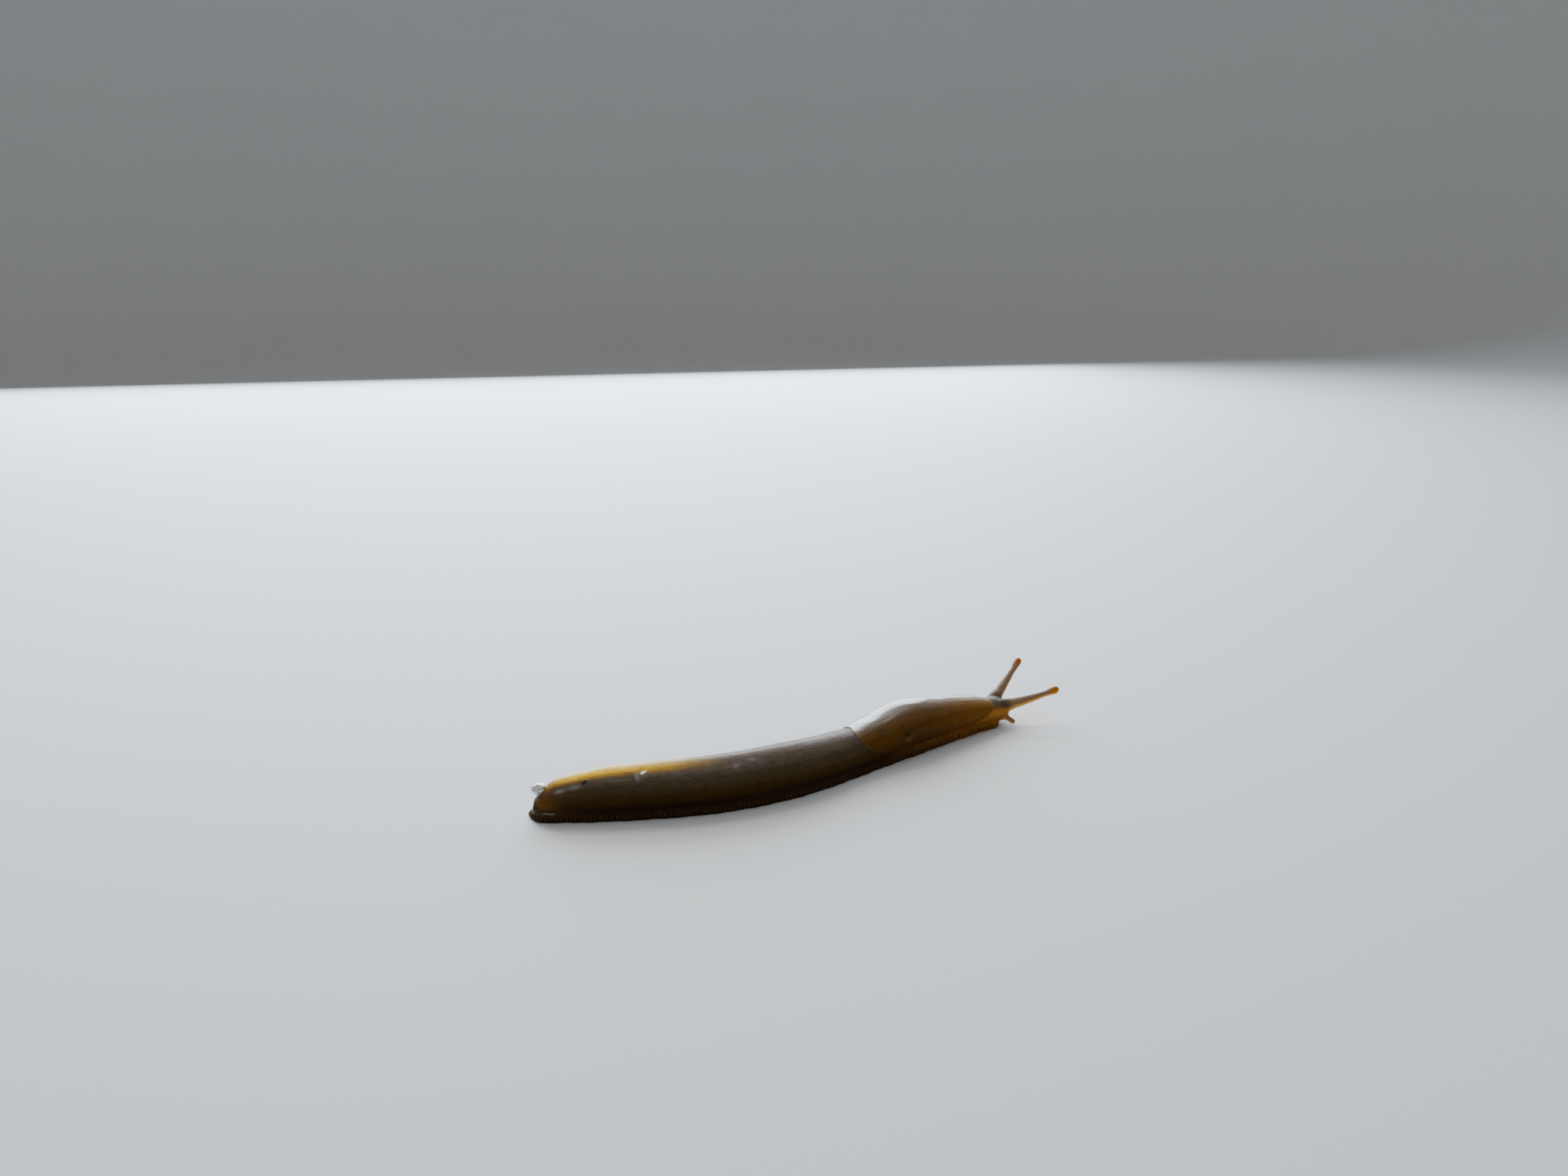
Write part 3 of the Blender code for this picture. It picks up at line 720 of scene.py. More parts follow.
def build_mantle(settings):
    """The mantle, a sphere that is flattened and draped over the back, its margin a rolled lip."""
    bpy.ops.object.select_all(action="DESELECT")
    bpy.ops.mesh.primitive_uv_sphere_add(
        segments=MANTLE_SEGMENTS, ring_count=MANTLE_RINGS, radius=1.0, location=(0, 0, 0)
    )
    made = bpy.context.active_object
    made.name = "mantle part"
    x, y, z = coordinates(made).T
    radius = np.hypot(x, y)
    safe = np.maximum(radius, 1e-9)
    ahead = x > 0
    squareness = np.where(ahead, MANTLE_FRONT_SQUARENESS, MANTLE_REAR_SQUARENESS)
    along = np.copysign(np.abs(x / safe) ** (2 / squareness), x) * radius
    across = np.copysign(np.abs(y / safe) ** (2 / squareness), y) * radius
    angle = 90.0 + across * MANTLE_DROP
    skewed = MANTLE_REACH_BACK + MANTLE_SKEW * np.tanh((80.0 - angle) / 25)
    distance = MANTLE_MIDDLE + along * np.where(ahead, MANTLE_REACH_FRONT, skewed)
    rim = rough(np.stack((distance * 180, angle / 14, 0 * angle), axis=-1), 5.0)
    distance = distance + 0.0004 * rim * smooth_step(radius, 0.8, 1.0)
    angle = angle + 2.0 * rim * smooth_step(radius, 0.8, 1.0)
    thick = MANTLE_EDGE_THICK + (MANTLE_THICK - MANTLE_EDGE_THICK) * (1 - radius**2)
    share = (1 + np.copysign(np.abs(z) ** MANTLE_EDGE_FULLNESS, z)) / 2
    lift = GAP * (1 - smooth_step(radius, 0.75, 1.0))
    outer = lift + thick * share
    sunk = lift + thick * share - (MANTLE_SINK + thick * 0.5) * smooth_step(1 - radius, 0.0, 0.02)
    swell = rough(np.stack((distance * 130, angle / 11, 0 * angle), axis=-1), 11.0)
    swell += 0.4 * rough(np.stack((distance * 300, angle / 5, 0 * angle), axis=-1), 17.0)
    relief = settings.mantle_swell * swell * (1 - smooth_step(radius, 0.93, 1.0))
    relief += 0.00055 * blot(distance, angle, PORE_DISTANCE, PORE_ANGLE - 12.0, 0.0022, 0.0015)
    relief -= 0.00085 * blot(distance, angle, PORE_DISTANCE, PORE_ANGLE, 0.0011, 0.00042)
    relief -= 0.00016 * blot(distance, angle, 0.1040, 45.0, 0.0030, 0.0009)
    grow = np.where(z > 0, outer + relief, sunk)
    move_to(made, flesh(distance, angle, grow))
    write_values(
        made,
        flow_of(distance, angle),
        along=distance / BODY_LENGTH,
        back=back_share(np.clip(angle, -UNDERCUT_ANGLE, 180 + UNDERCUT_ANGLE)),
        shade=marked(SHADES, distance, angle),
        pale=np.clip(marked(PALE_SPOTS, distance, angle) + 0.25 * smooth_step(radius, 0.97, 1.0), 0, 1),
    )
    return in_zone(closed_up(made), MANTLE_ZONE)


def direction(heading, climb):
    """A line that climbs from the floor, at a heading from +X, both in degrees."""
    turn, rise = math.radians(heading), math.radians(climb)
    return Vector((math.cos(rise) * math.cos(turn), math.cos(rise) * math.sin(turn), math.sin(rise)))


def axes_along(forward):
    """Forward, left and up for something that points forward."""
    left = Vector((0, 0, 1)).cross(forward).normalized()
    return np.array(forward), np.array(left), np.array(forward.cross(left))


def feeler_tube(name, root, axes, stations, tip, bow, grid, bumps, pale_from=0.0):
    """A feeler rolled from a grid: its radius read from the stations, its end rounded at the tip.

    bumps is the height of the grains that stand on it. Its own colour starts at the share pale_from.
    """
    forward, left, up = axes
    rows, columns = grid
    made, row, column = rolled_grid(name, rows, columns + 1)
    quarter = np.linspace(0, math.pi / 2, 9)
    start, end = stations[0][0], stations[-1][0]
    body = np.linspace(start, end, rows - len(quarter))
    marks = np.concatenate([[start], body, end + (tip - end) * np.sin(quarter)[1:]])
    widths = np.concatenate([[0.0], between(stations, body), stations[-1][1] * np.cos(quarter)[1:]])
    turn = column / columns * 2 * math.pi
    reach, width = marks[row], widths[row]
    share = np.clip(reach / tip, 0, 1)
    around = np.stack((reach * 1000, np.cos(turn) * width * 1000, np.sin(turn) * width * 1000), axis=-1)
    grains = smooth_step(cells(around / 0.40), 0.0, 0.55)
    creases = rough(np.stack((reach * 900, np.cos(turn), np.sin(turn)), axis=-1), 3.0)
    fade = smooth_step(reach, 0.0005, 0.004) * (1 - 0.6 * smooth_step(share, 0.84, 0.92))
    fade *= 1 - smooth_step(row, rows - 5, rows - 1)
    width = width + (bumps * (grains - 0.5) + 0.4 * bumps * creases) * fade
    middle = np.array(root) + forward * reach[:, None] - up * (bow * np.sin(math.pi * share))[:, None]
    ring = left * (np.cos(turn) * width)[:, None] + up * (np.sin(turn) * width)[:, None]
    move_to(made, middle + ring)
    write_values(
        made,
        np.stack((reach * 1000, turn * 1.4, np.zeros_like(reach)), axis=-1),
        along=NOSE_TIP / BODY_LENGTH,
        back=0.5 + 0.5 * np.sin(turn),
        feeler=share * smooth_step(share, pale_from - 0.2, pale_from + 0.3),
    )
    return in_zone(closed_up(made), FEELER_ZONE)


def eye_feeler_place(feeler):
    """The root of an upper feeler, its axes and how far the middle of the knob is from the root."""
    root = beside_spine(EYE_FEELER_ROOT, feeler["side"], EYE_FEELER_ROOT_HEIGHT)
    axes = axes_along(direction(feeler["heading"], feeler["climb"]))
    return root, axes, feeler["length"]


def eye_place(hand, feeler):
    """The middle of an eye, its radius and the way that it looks out of its knob."""
    root, (forward, *_), length = eye_feeler_place(feeler)
    low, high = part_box(f"eye_{hand}")
    eye = np.array((low + high) / 2)
    out = eye - (np.array(root) + forward * length)
    return eye, (high.z - low.z) / 2, out / np.linalg.norm(out)


def build_feelers(settings):
    """Both pairs of feelers, the upper ones with their knobs."""
    made = []
    for hand, feeler in EYE_FEELERS.items():
        root, axes, length = eye_feeler_place(feeler)
        knob = KNOB_RADIUS * KNOB_SHARE
        stations = (
            *STALK_RADII,
            (length - 1.3 * knob, knob * 0.90),
            (length - 0.5 * knob, knob),
            (length + 0.25 * knob, knob * 0.97),
        )
        tip = length + KNOB_RADIUS * KNOB_STRETCH
        grid = (FEELER_ROWS, FEELER_COLUMNS)
        name, bumps = f"upper feeler {hand}", settings.grain_height
        made.append(feeler_tube(name, root, axes, stations, tip, feeler["bow"], grid, bumps))
    ahead = float(between(HEADINGS, LIP_FEELER_ROOT))
    for hand, feeler in LIP_FEELERS.items():
        root = beside_spine(LIP_FEELER_ROOT, feeler["side"], LIP_FEELER_ROOT_HEIGHT)
        axes = axes_along(direction(ahead + feeler["splay"], feeler["climb"]))
        tip = LIP_FEELER_LENGTH + LIP_FEELER_RADII[-1][1]
        grid = (LIP_FEELER_ROWS, LIP_FEELER_COLUMNS)
        name, bumps = f"lower feeler {hand}", settings.grain_height * 0.6
        made.append(feeler_tube(name, root, axes, LIP_FEELER_RADII, tip, 0.0, grid, bumps, 0.35))
    return made


def soft_ball(name, centre, axes, radii):
    """A sphere stretched along three axes, for a lip or for the slit between the lips."""
    bpy.ops.object.select_all(action="DESELECT")
    bpy.ops.mesh.primitive_uv_sphere_add(segments=48, ring_count=24, radius=1.0, location=(0, 0, 0))
    made = bpy.context.active_object
    made.name = name
    local = coordinates(made) * np.array(radii)
    points = np.array(centre) + local @ np.array(axes)
    move_to(made, points)
    write_values(made, points * 1000, along=1.0, back=0.25)
    return in_zone(made, BODY_ZONE)


def combine(made, tool, operation):
    """Joins the tool to the object, or cuts it away, and removes the tool."""
    select_only(made)
    points = len(made.data.vertices)
    joint = made.modifiers.new("combine", "BOOLEAN")
    joint.operation = operation
    joint.solver = "MANIFOLD"
    joint.object = tool
    bpy.ops.object.modifier_apply(modifier=joint.name)
    bpy.data.objects.remove(tool)
    if len(made.data.vertices) in (0, points):
        raise RuntimeError(f"the skin was lost, or left as it was, when {operation} was applied")
    fill_values(made)
    return made


def fill_values(made):
    """Gives the points along a new join the values of the nearest older point."""
    fresh = np.flatnonzero(read_values(made, "kept") < 0.5)
    if not len(fresh):
        return
    points = coordinates(made)
    old = np.flatnonzero(read_values(made, "kept") >= 0.5)
    tree = kdtree.KDTree(len(old))
    for i in old:
        tree.insert(points[i], int(i))
    tree.balance()
    nearest = np.array([tree.find(points[i])[1] for i in fresh])
    for name in POINT_VALUES:
        values = read_values(made, name)
        values[fresh] = values[nearest]
        store_values(made, name, values)
    flow = read_flow(made)
    flow[fresh] = flow[nearest]
    store_flow(made, flow)


def join_points(made, zone, others):
    """The places of the points where the faces of a zone meet those of other zones."""
    count = len(made.data.vertices)
    touched = np.zeros((2, count), bool)
    for polygon in made.data.polygons:
        if polygon.material_index == zone:
            touched[0, list(polygon.vertices)] = True
        elif polygon.material_index in others:
            touched[1, list(polygon.vertices)] = True
    return np.flatnonzero(touched[0] & touched[1])


def near_to(made, places, radius):
    """Which points lie within the radius of the places."""
    points = coordinates(made)
    low, high = points[places].min(0) - radius, points[places].max(0) + radius
    inside = np.flatnonzero(((points >= low) & (points <= high)).all(1))
    tree = kdtree.KDTree(len(places))
    for i in places:
        tree.insert(points[i], int(i))
    tree.balance()
    found = np.zeros(len(points), bool)
    for i in inside:
        found[i] = tree.find(points[i])[2] <= radius
    return found


def smooth_points(made, chosen, repeat):
    """Smooths the skin at the chosen points."""
    edit_points(made, chosen)
    bpy.ops.mesh.vertices_smooth(factor=0.5, repeat=repeat)
    bpy.ops.object.mode_set(mode="OBJECT")


def soften_join(made, zone, others, passes):
    """Smooths the skin round a join, for each radius and count of passes in turn."""
    places = join_points(made, zone, others)
    for radius, repeat in passes:
        smooth_points(made, near_to(made, places, radius), repeat)


def blend_values(made, chosen, repeat):
    """Evens out the values of the chosen points, so that no colour changes abruptly there."""
    ends = np.empty(len(made.data.edges) * 2, np.int32)
    made.data.edges.foreach_get("vertices", ends)
    first, second = ends.reshape(-1, 2).T
    count = len(chosen)

    def summed(to_first, to_second):
        return np.bincount(first, to_first, count) + np.bincount(second, to_second, count)

    number = np.maximum(summed(None, None), 1)

    def evened(values):
        for _ in range(repeat):
            total = summed(values[second], values[first])
            values[chosen] = 0.4 * values[chosen] + 0.6 * (total / number)[chosen]
        return values

    for name in SKIN_VALUES:
        store_values(made, name, evened(read_values(made, name)))
    store_flow(made, np.stack([evened(axis.copy()) for axis in read_flow(made).T], axis=-1))


def sockets_for_eyes(made):
    """Draws the skin of each knob in round its eye, with a raised rim like a lid."""
    points = coordinates(made)
    for hand, feeler in EYE_FEELERS.items():
        eye, _, out = eye_place(hand, feeler)
        offset = points - eye
        ahead = offset @ out
        beside = np.linalg.norm(offset - ahead[:, None] * out, axis=1)
        rim = (ahead > 0) & (beside < SOCKET_REACH)
        lid = np.exp(-((beside / SOCKET_RADIUS) ** 4)) * SOCKET_DEPTH
        raised = np.exp(-(((beside - LID_RADIUS) / LID_WIDTH) ** 2)) * LID_HEIGHT
        points[rim] += (raised - lid)[rim, None] * out
    move_to(made, points)


def from_mouth(skin, front):
    """How far each point is from the front of the mouth, heights counting for more."""
    return np.linalg.norm((coordinates(skin) - front) / np.array((1.0, 1.0, 0.8)), axis=1)


def build_mouth(skin):
    """Two lips round the slit of the mouth."""
    heading = float(between(HEADINGS, NOSE_TIP))
    axes = axes_along(direction(heading, 0.0))
    forward, left, up = axes
    front = beside_spine(NOSE_TIP - LIP_THICK, 0.0, MOUTH_HEIGHT)
    for name, rise in (("upper lip", 1.0), ("lower lip", -1.0)):
        centre = front + up * rise * LIP_THICK * 1.25
        radii = (LIP_THICK * 1.6, MOUTH_HALF_WIDTH, LIP_THICK)
        combine(skin, soft_ball(name, centre, axes, radii), "UNION")
    smooth_points(skin, from_mouth(skin, front) < LIPS_SMOOTHED, 5)
    slit_radii = (LIP_THICK * 3, MOUTH_HALF_WIDTH * 0.75, LIP_THICK * 0.34)
    slit = soft_ball("slit", front + forward * LIP_THICK, axes, slit_radii)
    combine(skin, slit, "DIFFERENCE")
    blend_values(skin, from_mouth(skin, front) < LIPS_BLENDED, 16)


def drop_crumbs(made):
    """Deletes the scraps that a join leaves loose, and keeps the part with the highest point."""
    highest = np.zeros(len(made.data.vertices), bool)
    highest[coordinates(made)[:, 2].argmax()] = True
    edit_points(made, highest)
    bpy.ops.mesh.select_linked()
    bpy.ops.mesh.select_all(action="INVERT")
    bpy.ops.mesh.delete(type="VERT")
    bpy.ops.object.mode_set(mode="OBJECT")


def round_toe(made):
    """Softens the front edge of the foot, under the mouth."""
    heading = math.radians(float(between(HEADINGS, LIP_FEELER_ROOT)))
    points = coordinates(made)
    reach = points[:, 0] * math.cos(heading) + points[:, 1] * math.sin(heading)
    reach[points[:, 2] > TOE_HEIGHT] = -1.0
    smooth_points(made, near_to(made, [int(reach.argmax())], TOE_REACH), 14)


def build_skin(settings):
    """The whole skin as one closed mesh."""
    skin = build_flesh(settings)
    for feeler in build_feelers(settings):
        combine(skin, feeler, "UNION")
    soften_join(skin, FEELER_ZONE, (BODY_ZONE,), ((0.0014, 10), (0.0009, 10), (0.0005, 6)))
    blend_values(skin, near_to(skin, join_points(skin, FEELER_ZONE, (BODY_ZONE,)), 0.0014), 24)
    build_mouth(skin)
    sockets_for_eyes(skin)
    combine(skin, build_mantle(settings), "UNION")
    combine(skin, build_foot(settings), "UNION")
    drop_crumbs(skin)
    soften_join(skin, MANTLE_ZONE, (BODY_ZONE, FEELER_ZONE), ((0.00025, 2),))
    soften_join(skin, FOOT_ZONE, (BODY_ZONE, FEELER_ZONE, MANTLE_ZONE), ((0.0008, 6), (0.0005, 4)))
    blend_values(skin, near_to(skin, join_points(skin, FOOT_ZONE, (BODY_ZONE, FEELER_ZONE)), 0.0007), 10)
    round_toe(skin)
    zones = np.empty(len(skin.data.polygons), np.int32)
    skin.data.polygons.foreach_get("material_index", zones)
    zones[zones != MANTLE_ZONE] = BODY_ZONE
    skin.data.polygons.foreach_set("material_index", zones)
    skin.data.materials.pop(index=FEELER_ZONE)
    skin.data.materials.pop(index=FOOT_ZONE)
    select_only(skin)
    bpy.ops.object.shade_smooth()
    return skin


# ---- materials

# How strongly the skin and its film of slime bend light. The mantle is the wetter of the two.
SKIN_IOR, FILM_IOR = 1.12, 1.36
MANTLE_IOR, MANTLE_FILM_IOR = 1.16, 1.8
# How far red, green and blue light go in flesh, beside each other, and how deep in metres.
FLESH_RADII = (1.0, 0.42, 0.16)
BODY_GLOW_DEPTH, MANTLE_GLOW_DEPTH = 0.0022, 0.0024
# Single flecks: how far along the flow and across it, length, width and slant.
# A painted highlight: the white glint in the crease near the tail.
PAINTED_GLINT = (30.9, -4.0, 0.85, 0.62, 0.6)
# A painted highlight: the bluish glint on the top of the foot behind the tail.
PAINTED_HEEL_GLINT = (7.2, -14.6, 1.3, 0.30, 0.0)
DARK_SPECK = (15.3, -5.2, 0.85, 0.85, 0.4)
# Painted shade in the opening of the breathing pore.
PORE_SLIT = (112.0, -12.5, 0.85, 0.34, 0.5)


class Tree:
    """Adds the nodes of one node tree and links them."""

    def __init__(self, tree):
        self.tree = tree

    def link(self, source, target):
        self.tree.links.new(source, target)

    def fill(self, made, inputs):
        """Gives the sockets of a node their values, or links them."""
        for key, value in inputs.items():
            if isinstance(value, bpy.types.NodeSocket):
                self.link(value, made.inputs[key])
            else:
                made.inputs[key].default_value = value
        return made

    def add(self, kind, inputs=None, **settings):
        """Adds a node with its settings and inputs."""
        made = self.tree.nodes.new(kind)
        for key, value in settings.items():
            setattr(made, key, value)
        return self.fill(made, inputs or {})

    def math(self, operation, first, second=0.0):
        return self.add("ShaderNodeMath", {0: first, 1: second}, operation=operation).outputs[0]

    def times(self, first, *others):
        """The product of all that is given."""
        for other in others:
            first = self.math("MULTIPLY", first, other)
        return first

    def vector_math(self, operation, first, second, output=0):
        inputs = {0: first, ("Scale" if operation == "SCALE" else 1): second}
        return self.add("ShaderNodeVectorMath", inputs, operation=operation).outputs[output]

    def value(self, name, output="Fac"):
        """A value that is stored on the points of the mesh."""
        return self.add("ShaderNodeAttribute", attribute_name=name).outputs[output]

    def place(self):
        """Object coordinates."""
        return self.add("ShaderNodeTexCoord").outputs["Object"]

    def height(self):
        """How high above the floor the surface is."""
        return self.add("ShaderNodeSeparateXYZ", {0: self.place()}).outputs["Z"]

    def noise(self, vector, scale, detail, output="Fac"):
        """Smooth noise from 0 to 1."""
        inputs = {"Vector": vector, "Scale": scale, "Detail": detail}
        return self.add("ShaderNodeTexNoise", inputs).outputs[output]

    def mix(self, share, first, second):
        """The first colour, with a share of the second one."""
        inputs = {0: share}
        for key, colour in ((6, first), (7, second)):
            inputs[key] = colour if isinstance(colour, bpy.types.NodeSocket) else (*colour, 1.0)
        return self.add("ShaderNodeMix", inputs, data_type="RGBA").outputs[2]

    def scaled(self, colour, factor):
        """The colour made lighter or darker by a factor."""
        return self.vector_math("SCALE", colour, factor)

    def span(self, value, low, high, to_low=0.0, to_high=1.0):
        """Turns low to high into to_low to to_high with a soft start and end."""
        inputs = {0: value, 1: low, 2: high, 3: to_low, 4: to_high}
        return self.add("ShaderNodeMapRange", inputs, interpolation_type="SMOOTHSTEP").outputs[0]

    def ramp(self, value, *stops):
        """A colour that is read from stops, each with its place and its red, green and blue."""
        made = self.add("ShaderNodeValToRGB", {0: value})
        made.color_ramp.interpolation = "EASE"
        elements = made.color_ramp.elements
        while len(elements) < len(stops):
            elements.new(0.5)
        for element, (place, *colour) in zip(elements, stops):
            element.position = place
            element.color = (*colour, 1.0)
        return made.outputs[0]

    def group(self, name, **inputs):
        """Places a node group with its values."""
        made = self.add("ShaderNodeGroup", node_tree=bpy.data.node_groups[name])
        return self.fill(made, inputs).outputs

    def fleck(self, flow, along, across, length, width, slant):
        """The mask of a single fleck."""
        place = (along, across, 0.0)
        made = self.group("Fleck", Flow=flow, Place=place, Length=length, Width=width, Slant=slant)
        return made["Mask"]


def new_group(name, outputs, **inputs):
    """A shader node group: its tree, inputs and outputs.

    Each input is given with its default, and None stands for flow coordinates.
    """
    group = bpy.data.node_groups.new(name, "ShaderNodeTree")
    for label, default in inputs.items():
        kind = "NodeSocketFloat" if isinstance(default, float) else "NodeSocketVector"
        socket = group.interface.new_socket(label, in_out="INPUT", socket_type=kind)
        if default is not None:
            socket.default_value = default
    for label in outputs:
        kind = "NodeSocketColor" if label == "Color" else "NodeSocketFloat"
        group.interface.new_socket(label, in_out="OUTPUT", socket_type=kind)
    tree = Tree(group)
    return tree, tree.add("NodeGroupInput").outputs, tree.add("NodeGroupOutput").inputs


def make_furrow_group():
    """Long furrows that branch and meet, along a flow of millimetres: a mask and a height."""
    tree, given, result = new_group(
        "Furrows", ("Furrow", "Height"), Flow=None, Pitch=0.6, Length=4.0, Width=0.22
    )
    wander = tree.noise(given["Flow"], 0.35, 2.0, "Color")
    shift = tree.vector_math("SCALE", tree.vector_math("ADD", wander, (-0.5, -0.5, -0.5)), 0.9)
    moved = tree.vector_math("ADD", given["Flow"], shift)
    size = tree.add("ShaderNodeCombineXYZ", {0: given["Length"], 1: given["Pitch"], 2: 1.0}).outputs[0]
    cell = tree.add(
        "ShaderNodeTexVoronoi",
        {"Vector": tree.vector_math("DIVIDE", moved, size), "Scale": 1.0},
        feature="DISTANCE_TO_EDGE",
        voronoi_dimensions="2D",
    )
    height = tree.span(cell.outputs["Distance"], 0.0, given["Width"])
    tree.link(height, result["Height"])
    tree.link(tree.math("SUBTRACT", 1.0, height), result["Furrow"])


def make_grain_group():
    """Fine grains all over a skin, by object coordinates: a height, and a mask of its specks."""
    tree, given, result = new_group("Grain", ("Height", "Speck"), Size=0.35)
    place = tree.place()
    per_metre = tree.math("DIVIDE", 1000.0, given["Size"])
    cell = tree.add("ShaderNodeTexVoronoi", {"Vector": place, "Scale": per_metre}, feature="F1")
    dome = tree.span(cell.outputs["Distance"], 0.0, 0.75, 1.0, 0.0)
    soft = tree.noise(place, tree.times(per_metre, 1.7), 3.0)
    tree.link(tree.math("ADD", tree.times(dome, 0.7), tree.times(soft, 0.5)), result["Height"])
    tree.link(tree.span(soft, 0.56, 0.70), result["Speck"])


def make_mottle_group():
    """Cloudy and streaky changes of colour, as a factor round 1 that a colour is multiplied by."""
    tree, given, result = new_group("Mottle", ("Factor",), Flow=None, Amount=0.3)
    lines = tree.noise(tree.vector_math("MULTIPLY", given["Flow"], (0.10, 0.9, 1.0)), 1.0, 4.0)
    cloud = tree.noise(given["Flow"], 0.22, 3.0)
    centred = tree.math("SUBTRACT", tree.math("ADD", lines, cloud), 1.0)
    swing = tree.times(centred, tree.times(given["Amount"], 2.0))
    tree.link(tree.math("ADD", swing, 1.0), result["Factor"])


def make_fleck_group():
    """One small fleck with a ragged edge, at a place along the flow: a mask."""
    tree, given, result = new_group(
        "Fleck", ("Mask",), Flow=None, Place=(0.0, 0.0, 0.0), Length=0.5, Width=0.5, Slant=0.0
    )
    from_place = tree.vector_math("SUBTRACT", given["Flow"], given["Place"])
    apart = tree.add("ShaderNodeSeparateXYZ", {0: from_place}).outputs
    leaning = tree.math("SUBTRACT", apart["X"], tree.times(apart["Y"], given["Slant"]))
    ahead = tree.math("DIVIDE", leaning, given["Length"])
    beside = tree.math("DIVIDE", apart["Y"], given["Width"])
    reach = tree.add("ShaderNodeCombineXYZ", {0: ahead, 1: beside}).outputs[0]
    far = tree.add("ShaderNodeVectorMath", {0: reach}, operation="LENGTH").outputs["Value"]
    ragged = tree.times(tree.math("SUBTRACT", tree.noise(given["Flow"], 2.2, 2.0), 0.5), 1.1)
    tree.link(tree.span(tree.math("ADD", far, ragged), 0.65, 1.05, 1.0, 0.0), result["Mask"])


def make_low_colour_group(settings):
    """The colour of the lowest flank and of the top of the fringe, from the tail to the head."""
    tree, given, result = new_group("Low colour", ("Color",), Along=0.5)
    colour = tree.ramp(
        given["Along"],
        (0.00, 0.085, 0.042, 0.016),
        (0.05, 0.045, 0.022, 0.006),
        (0.11, *settings.low_colour),
        (0.60, *settings.low_colour),
        (0.80, 0.150, 0.054, 0.005),
        (1.00, 0.240, 0.092, 0.010),
    )
    tree.link(colour, result["Color"])


def new_material(name):
    """A fresh material, its tree and its surface shader."""
    material = bpy.data.materials.new(name)
    material.use_nodes = True
    surface = material.node_tree.nodes["Principled BSDF"]
    surface.inputs["Metallic"].default_value = 0.0
    return Tree(material.node_tree), surface


def make_wet(tree, surface, settings, depth):
    """Sets what is the same all over a wet skin: light that goes through it, and its film of slime."""
    fixed = {
        "Subsurface Weight": settings.glow,
        "Subsurface Radius": FLESH_RADII,
        "Subsurface Scale": depth,
        "IOR": SKIN_IOR,
        "Coat Roughness": settings.film_roughness,
        "Coat IOR": FILM_IOR,
    }
    tree.fill(surface, fixed)


def bumped(tree, surface, *heights):
    """Sends a chain of bumps, each with its height and its depth in metres, to the surface."""
    normal = None
    for height, depth in heights:
        inputs = {"Height": height, "Distance": depth, "Strength": 1.0}
        if normal is not None:
            inputs["Normal"] = normal
        normal = tree.add("ShaderNodeBump", inputs).outputs[0]
    tree.link(normal, surface.inputs["Normal"])


def body_colour(tree, settings, back, along, mottle, furrows):
    """The flanks, the golden keel of the tail and the head, without the fringe and the feelers."""
    # Darker towards the foot. The grey of the upper flank is a painted sheen of the wet skin, and the lighter
    # ridge is partly a painted rim light.
    colour = tree.ramp(
        back,
        (0.00, 0.030, 0.015, 0.002),
        (0.28, 0.046, 0.023, 0.002),
        (0.46, *settings.flank_colour),
        (0.58, 0.098, 0.071, 0.046),
        (0.90, *settings.back_colour),
        (1.00, 0.21, 0.125, 0.055),
    )
    tailward = tree.span(along, 0.14, 0.36, 1.0, 0.0)
    tawny = tree.times(tree.span(back, 0.58, 0.76), tailward, 0.8)
    colour = tree.mix(tawny, colour, (0.26, 0.105, 0.008))
    # The golden keel of the tail: partly its own colour and partly a painted glow of the light behind it,
    # paling at the very ridge to a painted rim light.
    golden = tree.times(tree.span(back, 0.65, 0.86), tree.math("POWER", tailward, 1.5))
    gold = tree.mix(tree.span(back, 0.84, 0.98), settings.gold_colour, (1.0, 0.72, 0.24))
    colour = tree.mix(golden, colour, gold)
    tail_tip = tree.times(tree.span(along, 0.030, 0.065, 1.0, 0.0), 0.75)
    colour = tree.mix(tail_tip, colour, (0.17, 0.065, 0.010))
    low = tree.math("MAXIMUM", tree.span(along, 0.61, 0.74), tree.span(back, 0.02, 0.14, 1.0, 0.0))
    low = tree.times(low, tree.span(back, 0.10, 0.50, 1.0, 0.0))
    colour = tree.mix(low, colour, tree.group("Low colour", Along=along)["Color"])
    headward = tree.times(tree.span(along, 0.86, 0.93), tree.span(back, 0.02, 0.16))
    head = tree.ramp(
        back,
        (0.0, 0.24, 0.092, 0.010),
        (0.34, 0.36, 0.145, 0.016),
        (0.60, 0.088, 0.056, 0.028),
        (1.0, 0.074, 0.055, 0.040),
    )
    colour = tree.scaled(tree.mix(headward, colour, head), mottle)
    # Painted shade: darker in the furrows, by up to a fifth, except on the head.
    lined = tree.times(furrows["Furrow"], tree.span(along, 0.86, 0.93, 0.20, 0.0))
    return tree.scaled(colour, tree.math("SUBTRACT", 1.0, lined))


def feeler_colour(tree, back, feeler, speck):
    """The stalk of a feeler, golden below and tan above, with its orange knob and dark end."""
    # Golden below and tan above: the golden underside is partly its own colour and partly a painted glow of
    # light shining through the stalk.
    stalk = tree.ramp(
        back,
        (0.0, 0.86, 0.44, 0.08),
        (0.40, 0.66, 0.33, 0.07),
        (0.60, 0.27, 0.15, 0.055),
        (1.0, 0.26, 0.175, 0.115),
    )
    knob = tree.ramp(back, (0.0, 0.66, 0.20, 0.0), (0.6, 0.56, 0.155, 0.0), (1.0, 0.34, 0.10, 0.012))
    dotted = tree.times(speck, tree.span(back, 0.3, 0.7, 0.15, 0.62))
    colour = tree.mix(dotted, stalk, (0.15, 0.085, 0.05))
    colour = tree.mix(tree.span(feeler, 0.80, 0.93), colour, knob)
    return tree.mix(tree.span(feeler, 0.955, 0.995, 0.0, 0.55), colour, (0.20, 0.055, 0.02))


